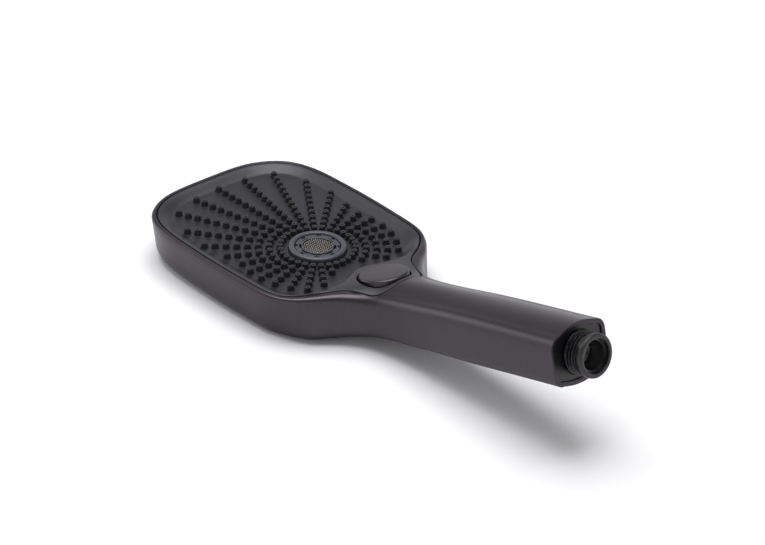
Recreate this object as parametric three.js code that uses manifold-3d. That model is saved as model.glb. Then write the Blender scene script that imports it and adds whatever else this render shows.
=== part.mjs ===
// A handheld shower head: a flat paddle head with a spray face, a push-button selector
// in the neck, and a handle that ends in a G 1/2 hose thread. Millimetres, +Z up.
//
// Everything is drawn in the face frame: the nozzle tips lie in the plane z = 0 around
// the spray ring's centre, and +X runs to the handle. "Along" is measured on a line that
// runs flat through the head and bends up into the handle.

import * as THREE from "three";
import { mergeVertices } from "three/addons/utils/BufferGeometryUtils.js";
import Module from "manifold-3d";

const wasm = await Module();
wasm.setup();

// ---------------------------------------------------------------- driving dimensions

const FIT = 0.3; // gap between two pieces that touch
const PLATE_GAP = 0.6; // open line round the face plate
const SLIDE = 0.35; // running gap of turning and sliding pieces
const CLEAR = 1; // how far a cutter runs past the face that it cuts
const FAR = 100; // reach of a cutter that takes everything on its side

const HEAD = {
  reach: 90.3, halfWidth: 53.7, depth: 24.3,
  rimTop: 0.2, cornerTop: 1.2, cornerBack: 8.8, neckCornerBack: 6.3, draft: 1.7, neckDraft: 2.3,
  flat: 30, // the top and back close on a line that starts this far from the head's end
};
const HANDLE = {
  tilt: THREE.MathUtils.degToRad(15), bendAt: 29, bendRadius: 40,
  end: 180.9, halfWidth: 17.6, waist: 16.6, cornerTop: 6, cornerBack: 5.5, axisBelow: 14.4,
};
const NECK = { start: 25, end: 67 };
const BACK_CROWN = 0.8; // the back's crown as a share of the top's
const SMALLEST_CORNER = 0.6;
const WALL = 2.2; // housing wall
const RIM = 2.5; // rim of the housing round the face plate

const PLATE = {
  thickness: 1.8, dishFloor: -2.7, dishBlend: 8, flat: 35,
  creaseAt: 28, creaseWidth: 3.5, creaseBow: 8, creaseSpread: 12,
};
const TONGUE = {
  end: 66, cornerAt: 59.6, cornerHalf: 16, flat: 16, shoulderLength: 2, shoulderDrop: 2.4, tip: 1.6,
};
const RING = { outer: 14.7, width: 2.9, top: 0.3, height: 4.4, outerChamfer: 0.9, innerChamfer: 0.5 };
const JET = {
  gap: 0.4, width: 2.3, top: -0.5, height: 3.4, tabs: 8, tabWidth: 3.4, tabReach: 1.3, tabDepth: 1.2,
};
const RETAINER = { gap: 0.6, width: 1.2, top: -0.2, height: 4.2, lip: 1.2 };
const MESH = { thickness: 0.4, seat: 0.9 };
const AERATOR = { floor: 1.2, holeRadius: 0.9, holes: 6, holeCircle: 4.2 };
const JET_TUBE = { gap: 1.1, wall: 1.5 };

const NOZZLE = {
  spokes: 30, ringClear: 4.35, pitch: 5.42, edgeClear: 7.5, creaseClear: 6.5,
  tipRadius: 1.18, baseRadius: 2.3, web: 0.5, sides: 4, root: 0.4,
};
const MAT = { thickness: 1.5 };
const SPRAY = { plateThickness: 2, slotWidth: 2.6, slotOver: 0.8, edgeInset: 5, neckSide: 33.5 };
const GASKET = { thickness: 0.8, width: 4.2 };
const CHAMBER = { floorAt: -17.2, wall: 1.8, flange: 4.4, flangeThickness: 1.8 };
const SCREW = { count: 6, shank: 1.1, head: 2.2, headHeight: 1.5, bite: 1.3 };

const BUTTON = {
  along: 20.5, halfWidth: 12.65, halfLength: 13.2, proud: 0.9, thickness: 2.9, power: 2.3,
  gap: 0.55, chamfer: 0.8, roll: 0.25,
};
const CARRIER = { radius: 9.4, thickness: 1.3, stem: 3.2, stemBelow: 3 };
const CARTRIDGE = { outer: 11, wall: 1.4, top: -9.9, bottom: -22.6, floor: 1.4, outletUp: 4.1 };
const GUIDE = { top: -8.4, thickness: 1.2, collar: 6.9, collarWall: 1.4, collarHeight: 1.6 };
const SPRING = { radius: 5, wire: 0.7, turns: 3.5, sides: 5, stepsPerTurn: 9 };
const STEM_SEAL = { height: 1.3, thickness: 1.6 };
const DRIVER = {
  outer: 7.6, height: 2.2, teeth: 6, toothHeight: 0.7, toothLength: 2.4, toothWidth: 2, toothInset: 0.3,
};
const ROTOR = { outer: 8.6, height: 2.6, recess: 4.1, recessDepth: 1.6 };
const DISC = { height: 1.4, port: 2.1, portCircle: 5.2 };
const SEAT = { height: 1.3, ports: 3 };
const DUCT = { bore: 1.9, outer: 3.2, apart: 5.2, height: -13.45 };

const TUBE = { outer: 5.2, inner: 3.9 };
const SOCKET = { wall: 2.1, length: 9, sealSeat: 1.4, sealDepth: 2.5, stop: 1 };
const CAP = { recess: 0.7, thickness: 3 };
const THREAD = {
  radius: 10.45, depth: 1.1, pitch: 1.814, crests: 4, crest: 0.2, plainEnd: 4.2, chamfer: 0.6, length: 11.2,
};
const CONNECTOR = {
  wall: 2.3, ledge: 1.25, mouthDepth: 2.2, regulatorSeat: 15.4, flangeReach: 1.15, flangeThickness: 2.4,
};
const REGULATOR = { thickness: 3, holes: 6, holeRadius: 0.9, rim: 1.7 };
const STRAINER = { rim: 1.1, height: 1.6 };

// Plan of the housing, as shares of the head's reach and half width.
const HEAD_OUTLINE = [
  [-1, 0], [-0.998, 0.28], [-0.979, 0.521], [-0.921, 0.73], [-0.825, 0.886],
  [-0.664, 0.974], [-0.443, 0.996], [-0.221, 1], [0, 0.987], [0.2, 0.963],
];
// Neck: place along the body, and how much of the head's extra width is left there.
const NECK_OUTLINE = [[28, 0.837], [37, 0.626], [46, 0.313], [56, 0.105], [70, 0.005]];
// Tongue of the face plate: place along the body, and how much of the head's extra width is left there.
const TONGUE_OUTLINE = [
  [35.8, 0.5385], [40.4, 0.3395], [43, 0.2334], [46.2, 0.1565], [50, 0.1034], [54.5, 0.0531],
];
// How far the top falls from its middle to its sides, and how deep the back lies.
const CROWN = [[20, 0], [45, 1.5], [60, 3.6], [80, 3.5], [120, 2.4], [181, 2.6]];
const DEPTH_GAIN = [[23.7, 0], [30, 0.3], [40, 1.6], [50, 3.3], [60, 4.6], [80, 5.9], [100, 5.5], [181, 4.7]];

// ---------------------------------------------------------------- materials

const paint = (color, roughness, metalness) =>
  new THREE.MeshStandardMaterial({ color, roughness, metalness });
const GUNMETAL = [0x4d484b, 0.38, 0.85];
const SATIN_DARK = [0x33363d, 0.35, 0.2];
const SILICONE = [0x15171c, 0.6, 0];
const GREY_PLASTIC = [0x4a4d55, 0.45, 0.1];
const BLACK_PLASTIC = [0x111114, 0.4, 0];
const WHITE_POM = [0xd8d6cf, 0.5, 0];
const STEEL = [0x8d8a84, 0.3, 1];
const RUBBER = [0x0c0c0d, 0.8, 0];

// ---------------------------------------------------------------- small tools

const { lerp, clamp, smoothstep } = THREE.MathUtils;

/** Value at a place along the body, on a smooth line through [place, value] rows. */
function profile(rows, at) {
  const last = rows.length - 1;
  if (at <= rows[0][0]) return rows[0][1];
  if (at >= rows[last][0]) return rows[last][1];
  const i = rows.findIndex((row) => row[0] > at) - 1;
  const slope = (k) => {
    if (k === 0 || k === last) return 0;
    return (rows[k + 1][1] - rows[k - 1][1]) / (rows[k + 1][0] - rows[k - 1][0]);
  };
  const span = rows[i + 1][0] - rows[i][0];
  const t = (at - rows[i][0]) / span;
  const a = rows[i][1];
  const b = rows[i + 1][1];
  const ease = t * t * (3 - 2 * t);
  return lerp(a, b, ease) + span * (slope(i) * t * (1 - t) ** 2 - slope(i + 1) * t * t * (1 - t));
}

const bendStart = HANDLE.bendAt - HANDLE.bendRadius * Math.tan(HANDLE.tilt / 2);
const bendEnd = bendStart + HANDLE.bendRadius * HANDLE.tilt;

/** Point of the face frame for a place along the body, a side offset and a height over the line. */
function bent(along, side, height) {
  const angle = clamp((along - bendStart) / HANDLE.bendRadius, 0, HANDLE.tilt);
  const past = Math.max(0, along - bendEnd);
  const x = Math.min(along, bendStart) + HANDLE.bendRadius * Math.sin(angle) + past * Math.cos(HANDLE.tilt);
  const z = HANDLE.bendRadius * (1 - Math.cos(angle)) + past * Math.sin(HANDLE.tilt);
  return new THREE.Vector3(x - height * Math.sin(angle), side, z + height * Math.cos(angle));
}

/** Distance along the handle's own axis, from the bend's corner, for a place along the body. */
const onHandle = (along) => along - bendEnd + HANDLE.bendRadius * Math.tan(HANDLE.tilt / 2);

/** The whole outline, anticlockwise, from the half with y >= 0 that runs from -X to +X. */
function mirrored(half) {
  const lower = half.map((p) => new THREE.Vector2(p.x, -p.y));
  const upper = half.slice(1, -1).reverse();
  return [...lower, ...upper];
}

/** Smooth line through points. */
const through = (points, steps) =>
  new THREE.SplineCurve(points.map(([x, y]) => new THREE.Vector2(x, y))).getPoints(steps);

/** Unit vectors that point into an anticlockwise outline. */
function inward(loop) {
  return loop.map((_, i) => {
    const before = loop[(i + loop.length - 1) % loop.length];
    const after = loop[(i + 1) % loop.length];
    const run = new THREE.Vector2().subVectors(after, before).normalize();
    return new THREE.Vector2(-run.y, run.x);
  });
}

/** The outline moved inwards. */
function inset(loop, distance) {
  const normals = inward(loop);
  return loop.map((p, i) => p.clone().addScaledVector(normals[i], distance));
}

/** Closed skin through rings of equal length, stacked from the top down. */
function skin(rings) {
  const known = new Map();
  const positions = [];
  const index = [];
  const vertex = (p) => {
    const key = [p.x, p.y, p.z].map((v) => Math.round(v * 1e4)).join();
    if (!known.has(key)) {
      known.set(key, positions.length / 3);
      positions.push(p.x, p.y, p.z);
    }
    return known.get(key);
  };
  const triangle = (a, b, c) => {
    if (a !== b && b !== c && c !== a) index.push(a, b, c);
  };
  const numbers = rings.map((ring) => ring.map(vertex));
  for (let j = 0; j + 1 < numbers.length; j += 1) {
    const [top, low] = [numbers[j], numbers[j + 1]];
    top.forEach((_, i) => {
      const k = (i + 1) % top.length;
      triangle(top[i], low[i], low[k]);
      triangle(top[i], low[k], top[k]);
    });
  }
  const geometry = new THREE.BufferGeometry();
  geometry.setAttribute("position", new THREE.Float32BufferAttribute(positions, 3));
  geometry.setIndex(index);
  return geometry;
}

/** Straight block of an outline between two heights. */
function block(loop, low, high) {
  const flat = (z) => loop.map((p) => new THREE.Vector3(p.x, p.y, z));
  const middle = loop.reduce((sum, p) => sum.add(p), new THREE.Vector2()).divideScalar(loop.length);
  const centre = (z) => loop.map(() => new THREE.Vector3(middle.x, middle.y, z));
  return solid(skin([centre(high), flat(high), flat(low), centre(low)]));
}

/** A manifold solid from a geometry. */
function solid(geometry) {
  const bare = geometry.clone();
  bare.deleteAttribute("normal");
  bare.deleteAttribute("uv");
  const merged = mergeVertices(bare, 1e-4);
  const vertProperties = new Float32Array(merged.attributes.position.array);
  const triVerts = new Uint32Array(merged.index.array);
  return new wasm.Manifold(new wasm.Mesh({ numProp: 3, vertProperties, triVerts }));
}

/** The three.js geometry of a manifold solid. */
function geometryOf(manifold) {
  const mesh = manifold.getMesh();
  const geometry = new THREE.BufferGeometry();
  geometry.setAttribute("position", new THREE.BufferAttribute(new Float32Array(mesh.vertProperties), 3));
  geometry.setIndex(new THREE.BufferAttribute(new Uint32Array(mesh.triVerts), 1));
  geometry.computeVertexNormals();
  return geometry;
}

/** Turned body about +Z from [radius, z] points in order. */
function turned(points, segments = 16) {
  const outline = points.map(([r, z]) => new THREE.Vector2(r, z));
  const geometry = new THREE.LatheGeometry([...outline, outline[0]], segments);
  geometry.rotateX(Math.PI / 2);
  return geometry;
}

/** Plain ring or disc about +Z. */
function collar(outer, inner, low, high, segments = 16) {
  return turned([[inner, low], [outer, low], [outer, high], [inner, high]], segments);
}

/** Round bar along +Z, as a solid. */
function bar(radius, low, high, x = 0, y = 0, segments = 8) {
  const geometry = new THREE.CylinderGeometry(radius, radius, high - low, segments);
  geometry.rotateX(Math.PI / 2);
  geometry.translate(x, y, (low + high) / 2);
  return solid(geometry);
}

/** The same round bar along +X. */
function barX(radius, from, to, y = 0, z = 0, segments = 16) {
  const geometry = new THREE.CylinderGeometry(radius, radius, to - from, segments);
  geometry.rotateZ(Math.PI / 2);
  geometry.translate((from + to) / 2, y, z);
  return solid(geometry);
}

const cut = (body, ...tools) => tools.reduce((left, tool) => left.subtract(tool), body);
const join = (body, ...others) => others.reduce((sum, other) => sum.add(other), body);

/** Calls make(angle) for equal steps round a circle. */
const around = (count, make) =>
  Array.from({ length: count }, (_, i) => make((i / count) * Math.PI * 2));

const circle = (radius, count) =>
  around(count, (angle) => new THREE.Vector2(radius * Math.cos(angle), radius * Math.sin(angle)));

/** Cutters for a circle of holes through a disc that lies between two heights. */
const barCircle = ({ holes, holeRadius, holeCircle }, low, high) =>
  circle(holeCircle, holes).map(({ x, y }) => bar(holeRadius, low - CLEAR, high + CLEAR, x, y));

// ---------------------------------------------------------------- outlines

const headHalf = HEAD_OUTLINE.map(([x, y]) => [x * HEAD.reach, y * HEAD.halfWidth]);
const neckHalf = NECK_OUTLINE.map(([x, share]) => [x, lerp(HANDLE.halfWidth, HEAD.halfWidth, share)]);
const handleHalf = [[95, HANDLE.waist], [135, lerp(HANDLE.waist, HANDLE.halfWidth, 0.5)]];
const PAST_END = 8; // the paddle is drawn longer than the handle and cut off square

function housingHalf(steps) {
  const rows = [...headHalf, ...neckHalf, ...handleHalf, [HANDLE.end + PAST_END, HANDLE.halfWidth]];
  return through(rows, steps);
}

function housingLoop(steps) {
  const half = housingHalf(steps);
  const end = half[half.length - 1];
  return mirrored([...half, new THREE.Vector2(end.x, end.y / 2), new THREE.Vector2(end.x, 0)]);
}

/** Half width of the housing at a place along neck and handle. */
const halfWidthAt = (along) =>
  profile([headHalf[headHalf.length - 1], ...neckHalf, ...handleHalf, [HANDLE.end, HANDLE.halfWidth]], along);

/** Outline of the opening that the face plate lies in: the rim's inner edge, and the tongue. */
function openingLoop(steps) {
  const half = housingHalf(200);
  const normals = inward(mirrored(half));
  const rimEnd = TONGUE_OUTLINE[0][0] - 4;
  const rim = half
    .map((p, i) => [p.x + normals[i].x * RIM, p.y - normals[i].y * RIM])
    .filter(([x], i) => x < rimEnd && i % 8 === 0);
  const tongue = TONGUE_OUTLINE.map(([x, share]) => [x, lerp(TONGUE.cornerHalf, HEAD.halfWidth, share)]);
  const side = [...rim, ...tongue, [TONGUE.cornerAt, TONGUE.cornerHalf]];
  const end = [
    [TONGUE.cornerAt + TONGUE.shoulderLength, TONGUE.cornerHalf - TONGUE.shoulderDrop],
    [TONGUE.end - TONGUE.tip, TONGUE.cornerHalf / 2],
    [TONGUE.end, 0],
  ];
  return mirrored([...through(side, steps), ...end.map(([x, y]) => new THREE.Vector2(x, y))]);
}

const OPENING = openingLoop(22);
const PLATE_LOOP = inset(OPENING, PLATE_GAP);

// ---------------------------------------------------------------- housing

/** Cross-section of the paddle at a place along it, less a wall. */
function section(along, wall) {
  const handle = smoothstep(along, NECK.start, NECK.end);
  const neck = clamp((along + HEAD.reach) / (HEAD.reach + NECK.start), 0, 1);
  const crown = profile(CROWN, along);
  const headCorner = lerp(HEAD.cornerBack, HEAD.neckCornerBack, neck);
  return {
    crown,
    top: HEAD.rimTop - crown - wall,
    back: -HEAD.depth - profile(DEPTH_GAIN, along) + BACK_CROWN * crown + wall,
    cornerTop: Math.max(SMALLEST_CORNER, lerp(HEAD.cornerTop, HANDLE.cornerTop, handle) - wall),
    cornerBack: Math.max(SMALLEST_CORNER, lerp(headCorner, HANDLE.cornerBack, handle) - wall),
    draft: lerp(HEAD.draft, HEAD.neckDraft, neck) * (1 - handle),
  };
}

/** The solid paddle, or its inside when wall is more than nothing. */
function paddle(wall) {
  const loop = housingLoop(27);
  const endAt = loop.reduce((most, p) => Math.max(most, p.x), 0);
  const normals = inward(loop);
  const ring = (level) =>
    loop.map((p, i) => {
      const here = section(p.x, wall);
      const { move, share, height } = level(here);
      const atEnd = p.x > endAt - 1e-3;
      const normal = atEnd ? new THREE.Vector2(0, -Math.sign(p.y)) : normals[i];
      const most = atEnd ? Math.abs(p.y) : Infinity;
      const edge = p.clone().addScaledVector(normal, Math.min(move + wall, most));
      const spine = clamp(p.x, HEAD.flat - HEAD.reach, endAt);
      return bent(lerp(edge.x, spine, share), lerp(edge.y, 0, share), height);
    });
  const arch = (share) => 1 - (1 - share) ** 2;
  const top = (share) => (s) => ({ move: s.cornerTop, share, height: s.top + s.crown * arch(share) });
  const upper = (turn) => (s) => ({
    move: s.cornerTop * (1 - Math.sin(turn)), share: 0, height: s.top - s.cornerTop * (1 - Math.cos(turn)),
  });
  const lower = (turn) => (s) => ({
    move: s.draft + s.cornerBack * (1 - Math.cos(turn)), share: 0,
    height: s.back + s.cornerBack * (1 - Math.sin(turn)),
  });
  const back = (share) => (s) => ({
    move: s.draft + s.cornerBack, share, height: s.back - BACK_CROWN * s.crown * arch(share),
  });
  const steps = [
    top(1), top(0.5), top(0), upper(Math.PI / 4), upper(Math.PI / 2),
    lower(0), lower(Math.PI / 6), lower(Math.PI / 3), lower(Math.PI / 2), back(0.5), back(1),
  ];
  return solid(skin(steps.map(ring)));
}

/** Moves a solid drawn on the handle's axis (x along it, z out of its top) into the face frame. */
function fromHandle(geometry) {
  return geometry.rotateY(-HANDLE.tilt).translate(HANDLE.bendAt, 0, 0);
}

/** Block that removes everything past a place along the handle. */
function endCutter(along) {
  const box = new THREE.BoxGeometry(FAR, 2 * FAR, 2 * FAR).translate(onHandle(along) + FAR / 2, 0, 0);
  return solid(fromHandle(box));
}

function housing() {
  const opening = skinAlong(OPENING, HEAD.depth, -HEAD.depth / 2);
  return geometryOf(cut(paddle(0), paddle(WALL), opening, endCutter(HANDLE.end)));
}

/** Place on the plate's middle line that a point of its outline closes on. */
const plateSpine = (p) => clamp(p.x, PLATE.flat - HEAD.reach, TONGUE.end - TONGUE.flat);

/** Prism of an outline that follows the bend, between two heights over the line. */
function skinAlong(loop, high, low) {
  const ring = (height, share) =>
    loop.map((p) => bent(lerp(p.x, plateSpine(p), share), lerp(p.y, 0, share), height));
  const nearFace = [1.5, -6]; // two rings close to the plate keep the wall true to the bend there
  const walls = [high, ...nearFace, low].map((height) => ring(height, 0));
  return solid(skin([ring(high, 1), ...walls, ring(low, 1)]));
}

// ---------------------------------------------------------------- spray face

/** Place of the fold between dish and tongue, which bows away from the spray ring at the sides. */
const creaseAt = (side) =>
  PLATE.creaseAt + PLATE.creaseBow * (1 - Math.exp(-((side / PLATE.creaseSpread) ** 2)));

/** Height of the plate's face: a dish under the head's rim, and a tongue that is flush with the neck. */
function plateFace(along, side, fromEdge) {
  const dish = lerp(HEAD.rimTop, PLATE.dishFloor, smoothstep(fromEdge, 0, PLATE.dishBlend));
  const shoulder = halfWidthAt(along) - section(along, 0).cornerTop;
  const flush = HEAD.rimTop - profile(CROWN, along) * (side / shoulder) ** 2;
  const crease = creaseAt(side);
  return lerp(dish, flush, smoothstep(along, crease, crease + PLATE.creaseWidth));
}

function plateSolid() {
  const normals = inward(PLATE_LOOP);
  const ring = (move, share, drop) =>
    PLATE_LOOP.map((p, i) => {
      const edge = p.clone().addScaledVector(normals[i], move);
      const along = lerp(edge.x, plateSpine(p), share);
      const side = lerp(edge.y, 0, share);
      const fromEdge = share > 0 ? PLATE.dishBlend : move;
      return bent(along, side, plateFace(along, side, fromEdge) - drop);
    });
  const deep = PLATE.dishBlend;
  const face = [[deep, 1], [deep, 0.5], [deep, 0], [deep / 2, 0], [0, 0]];
  const under = [...face].reverse();
  return solid(skin([
    ...face.map(([move, share]) => ring(move, share, 0)),
    ...under.map(([move, share]) => ring(move, share, PLATE.thickness)),
  ]));
}

// Radii of the centre spray, each ring inside the one before.
const ringInner = RING.outer - RING.width;
const jetOuter = ringInner - JET.gap;
const jetInner = jetOuter - JET.width;
const retainerOuter = jetInner - RETAINER.gap;
const meshRadius = retainerOuter - RETAINER.width;
const jetTubeInner = retainerOuter + JET_TUBE.gap;

const NOZZLE_FIELD = inset(PLATE_LOOP, NOZZLE.edgeClear);

/** Whether a nozzle at a point stands on the dish's floor, clear of its edge and of the fold. */
function onDish(x, y) {
  const crosses = NOZZLE_FIELD.filter((a, i) => {
    const b = NOZZLE_FIELD[(i + 1) % NOZZLE_FIELD.length];
    return a.y > y !== b.y > y && x < lerp(a.x, b.x, (y - a.y) / (b.y - a.y));
  });
  return crosses.length % 2 === 1 && x < creaseAt(y) - NOZZLE.creaseClear;
}

/** The radii of a spoke's nozzles, from the spray ring out to the edge of the dish. */
function spokeRadii(angle) {
  const radii = [];
  let radius = RING.outer + NOZZLE.ringClear;
  while (onDish(radius * Math.cos(angle), radius * Math.sin(angle))) {
    radii.push(radius);
    radius += NOZZLE.pitch;
  }
  return radii;
}

/** Every nozzle: its place, and the radius that leaves a web to its neighbours. */
const nozzles = around(NOZZLE.spokes, (angle) =>
  spokeRadii(angle).map((radius) => {
    const spacing = (2 * Math.PI * radius) / NOZZLE.spokes;
    const base = Math.min(NOZZLE.baseRadius, (spacing - NOZZLE.web) / 2 - FIT);
    return { x: radius * Math.cos(angle), y: radius * Math.sin(angle), angle, base };
  })).flat();

const matTop = PLATE.dishFloor - PLATE.thickness - FIT;
const matBottom = matTop - MAT.thickness;

/** All the nozzle cones as one body of separate cones, grown by a clearance. */
function nozzleCones(grow, low, high) {
  const rings = nozzles.map((nozzle) => {
    const radiusAt = (z) => lerp(nozzle.base, NOZZLE.tipRadius, (z - matTop) / -matTop) + grow;
    const cone = new THREE.CylinderGeometry(radiusAt(high), radiusAt(low), high - low, NOZZLE.sides);
    cone.rotateX(Math.PI / 2).rotateZ(nozzle.angle).translate(nozzle.x, nozzle.y, (low + high) / 2);
    return cone.toNonIndexed().attributes.position.array;
  });
  const all = new Float32Array(rings.reduce((sum, ring) => sum + ring.length, 0));
  rings.reduce((at, ring) => {
    all.set(ring, at);
    return at + ring.length;
  }, 0);
  const geometry = new THREE.BufferGeometry();
  geometry.setAttribute("position", new THREE.BufferAttribute(all, 3));
  return solid(geometry);
}

function facePlate() {
  const nozzleHoles = nozzleCones(FIT, matTop - CLEAR, CLEAR);
  const ringHole = bar(RING.outer + FIT, -FAR, FAR, 0, 0, 24);
  return geometryOf(cut(plateSolid(), nozzleHoles, ringHole, buttonPrism(BUTTON.gap, -FAR, FAR)));
}

/** Outline of the water parts under the plate: the plate's own, moved in and cut off at the neck. */
function wetLoop(move, neckMove = move) {
  const edge = SPRAY.neckSide - neckMove;
  const inner = inset(PLATE_LOOP, SPRAY.edgeInset + move);
  return inner.flatMap((p, i) => {
    const next = inner[(i + 1) % inner.length];
    const kept = p.x < edge ? [p] : [];
    const crosses = p.x < edge !== next.x < edge;
    if (crosses) kept.push(new THREE.Vector2(edge, lerp(p.y, next.y, (edge - p.x) / (next.x - p.x))));
    return kept;
  });
}

function nozzleMat() {
  const sheet = block(wetLoop(0), matBottom, matTop);
  const centre = bar(RING.outer + FIT, matBottom - CLEAR, matTop + CLEAR, 0, 0, 24);
  const cones = nozzleCones(0, matTop - NOZZLE.root, 0);
  return geometryOf(cut(join(sheet, cones), centre));
}

const sprayTop = matBottom - FIT;
const sprayBottom = sprayTop - SPRAY.plateThickness;

function sprayPlate() {
  const spokes = around(NOZZLE.spokes, (angle) => ({ angle, radii: spokeRadii(angle) }));
  const slots = spokes.filter(({ radii }) => radii.length > 0).map(({ angle, radii }) => {
    const first = radii[0] - SPRAY.slotOver;
    const last = radii[radii.length - 1] + SPRAY.slotOver;
    const slot = new THREE.BoxGeometry(last - first, SPRAY.slotWidth, SPRAY.plateThickness + 2 * CLEAR);
    return solid(slot.translate((first + last) / 2, 0, (sprayTop + sprayBottom) / 2).rotateZ(angle));
  });
  const centre = bar(jetTubeInner, sprayBottom - CLEAR, sprayTop + CLEAR, 0, 0, 24);
  const threads = screwPlaces.map(([x, y]) =>
    bar(SCREW.shank + FIT, sprayBottom - CLEAR, sprayBottom + SCREW.bite, x, y));
  return geometryOf(cut(block(wetLoop(0), sprayBottom, sprayTop), centre, ...slots, ...threads));
}

const gasketTop = sprayBottom - FIT;
const gasketBottom = gasketTop - GASKET.thickness;

/** Places of the chamber screws, on the middle line of the flange. */
const screwPlaces = (() => {
  const line = wetLoop(CHAMBER.flange / 2).filter((p) => p.x < SPRAY.neckSide - CHAMBER.flange);
  return Array.from({ length: SCREW.count }, (_, i) => {
    const p = line[Math.round(((i + 0.5) / SCREW.count) * (line.length - 1))];
    return [p.x, p.y];
  });
})();

function chamberGasket() {
  const ring = cut(block(wetLoop(0), gasketBottom, gasketTop), block(wetLoop(GASKET.width), -FAR, 0));
  const holes = screwPlaces.map(([x, y]) =>
    bar(SCREW.shank + FIT, gasketBottom - CLEAR, gasketTop + CLEAR, x, y));
  return geometryOf(cut(ring, ...holes));
}

const flangeTop = gasketBottom - FIT;

function waterChamber() {
  const flange = block(wetLoop(0), flangeTop - CHAMBER.flangeThickness, flangeTop);
  const tub = block(wetLoop(CHAMBER.flange, 0), CHAMBER.floorAt, flangeTop);
  const room = wetLoop(CHAMBER.flange + CHAMBER.wall);
  const hollow = block(room, CHAMBER.floorAt + CHAMBER.wall, flangeTop + CLEAR);
  const below = flangeTop - CHAMBER.flangeThickness - CLEAR;
  const holes = screwPlaces.map(([x, y]) => bar(SCREW.shank + FIT, below, flangeTop + CLEAR, x, y));
  const inlets = [1, -1].map((side) =>
    barX(DUCT.bore, jetTubeInner + JET_TUBE.wall + CLEAR, FAR, side * DUCT.apart, DUCT.height, 12));
  return geometryOf(cut(join(flange, tub), hollow, ...holes, ...inlets));
}

/** Wall between the centre spray and the nozzles, standing on the chamber's floor. */
function jetTube() {
  const top = sprayBottom - FIT;
  const low = CHAMBER.floorAt + CHAMBER.wall + FIT;
  const ring = solid(collar(jetTubeInner + JET_TUBE.wall, jetTubeInner, low, top, 24));
  const inlet = barX(DUCT.bore, 0, jetTubeInner + JET_TUBE.wall + CLEAR, 0, DUCT.height, 12);
  return geometryOf(cut(ring, inlet));
}

function chamberScrew() {
  const head = flangeTop - CHAMBER.flangeThickness - FIT;
  const top = sprayBottom + SCREW.bite - FIT;
  return turned([
    [0, head - SCREW.headHeight], [SCREW.head, head - SCREW.headHeight], [SCREW.head, head],
    [SCREW.shank, head], [SCREW.shank, top], [0, top],
  ], 8);
}

// ---------------------------------------------------------------- centre spray

function sprayRing() {
  const low = RING.top - RING.height;
  return turned([
    [ringInner, low], [RING.outer, low], [RING.outer, RING.top - RING.outerChamfer],
    [RING.outer - RING.outerChamfer, RING.top], [ringInner + RING.innerChamfer, RING.top],
    [ringInner, RING.top - RING.innerChamfer],
  ], 24);
}

function jetRing() {
  const ring = solid(collar(jetOuter, jetInner, JET.top - JET.height, JET.top, 24));
  const notches = around(JET.tabs, (angle) => {
    const notch = new THREE.BoxGeometry(JET.tabReach + CLEAR, JET.tabWidth, 2 * JET.tabDepth);
    return solid(notch.translate(jetInner + (JET.tabReach - CLEAR) / 2, 0, JET.top).rotateZ(angle));
  });
  return geometryOf(cut(ring, ...notches));
}

function meshRetainer() {
  const low = RETAINER.top - RETAINER.height;
  const seat = RETAINER.top - MESH.seat - MESH.thickness - FIT;
  return turned([
    [meshRadius - RETAINER.lip, low], [retainerOuter, low], [retainerOuter, RETAINER.top],
    [meshRadius, RETAINER.top], [meshRadius, seat], [meshRadius - RETAINER.lip, seat],
  ], 20);
}

function meshScreen() {
  const top = RETAINER.top - MESH.seat;
  const low = top - MESH.thickness;
  return turned([[0, low], [meshRadius - FIT, low], [meshRadius - FIT, top], [0, top]], 20);
}

function aeratorBody() {
  const high = RETAINER.top - RETAINER.height - FIT;
  const low = high - AERATOR.floor;
  const disc = solid(turned([[0, low], [retainerOuter, low], [retainerOuter, high], [0, high]], 20));
  return geometryOf(cut(disc, ...barCircle(AERATOR, low, high)));
}

// ---------------------------------------------------------------- selector, drawn on the handle's axis
// z = 0 is the top of the neck, and the button's axis is the line x = 0 of its own group.

/** Rounded-square outline of the button. */
const buttonLoop = (grow, count = 28) =>
  around(count, (angle) => {
    const bulge = (v) => Math.sign(v) * Math.abs(v) ** (2 / BUTTON.power);
    return new THREE.Vector2(
      (BUTTON.halfLength + grow) * bulge(Math.cos(angle)),
      (BUTTON.halfWidth + grow) * bulge(Math.sin(angle)),
    );
  });

/** The button's outline as a long prism in the face frame, to cut its opening. */
function buttonPrism(grow, low, high) {
  const loop = buttonLoop(grow).map((p) => new THREE.Vector2(p.x + BUTTON.along, p.y));
  return solid(fromHandle(geometryOf(block(loop, low, high))));
}

function buttonCap() {
  const { chamfer, roll } = BUTTON;
  const layer = (grow, z) => buttonLoop(grow).map((p) => new THREE.Vector3(p.x, p.y, z));
  const point = (z) => buttonLoop(0).map(() => new THREE.Vector3(0, 0, z));
  const low = BUTTON.proud - BUTTON.thickness;
  return skin([
    point(BUTTON.proud), layer(-chamfer, BUTTON.proud), layer(-roll, BUTTON.proud - roll),
    layer(0, BUTTON.proud - chamfer), layer(0, low), point(low),
  ]);
}

const carrierTop = BUTTON.proud - BUTTON.thickness - FIT;
const stemEnd = GUIDE.top - GUIDE.thickness - CARRIER.stemBelow;

function buttonCarrier() {
  const low = carrierTop - CARRIER.thickness;
  return turned([
    [0, stemEnd], [CARRIER.stem, stemEnd], [CARRIER.stem, low], [CARRIER.radius, low],
    [CARRIER.radius, carrierTop], [0, carrierTop],
  ]);
}

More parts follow.
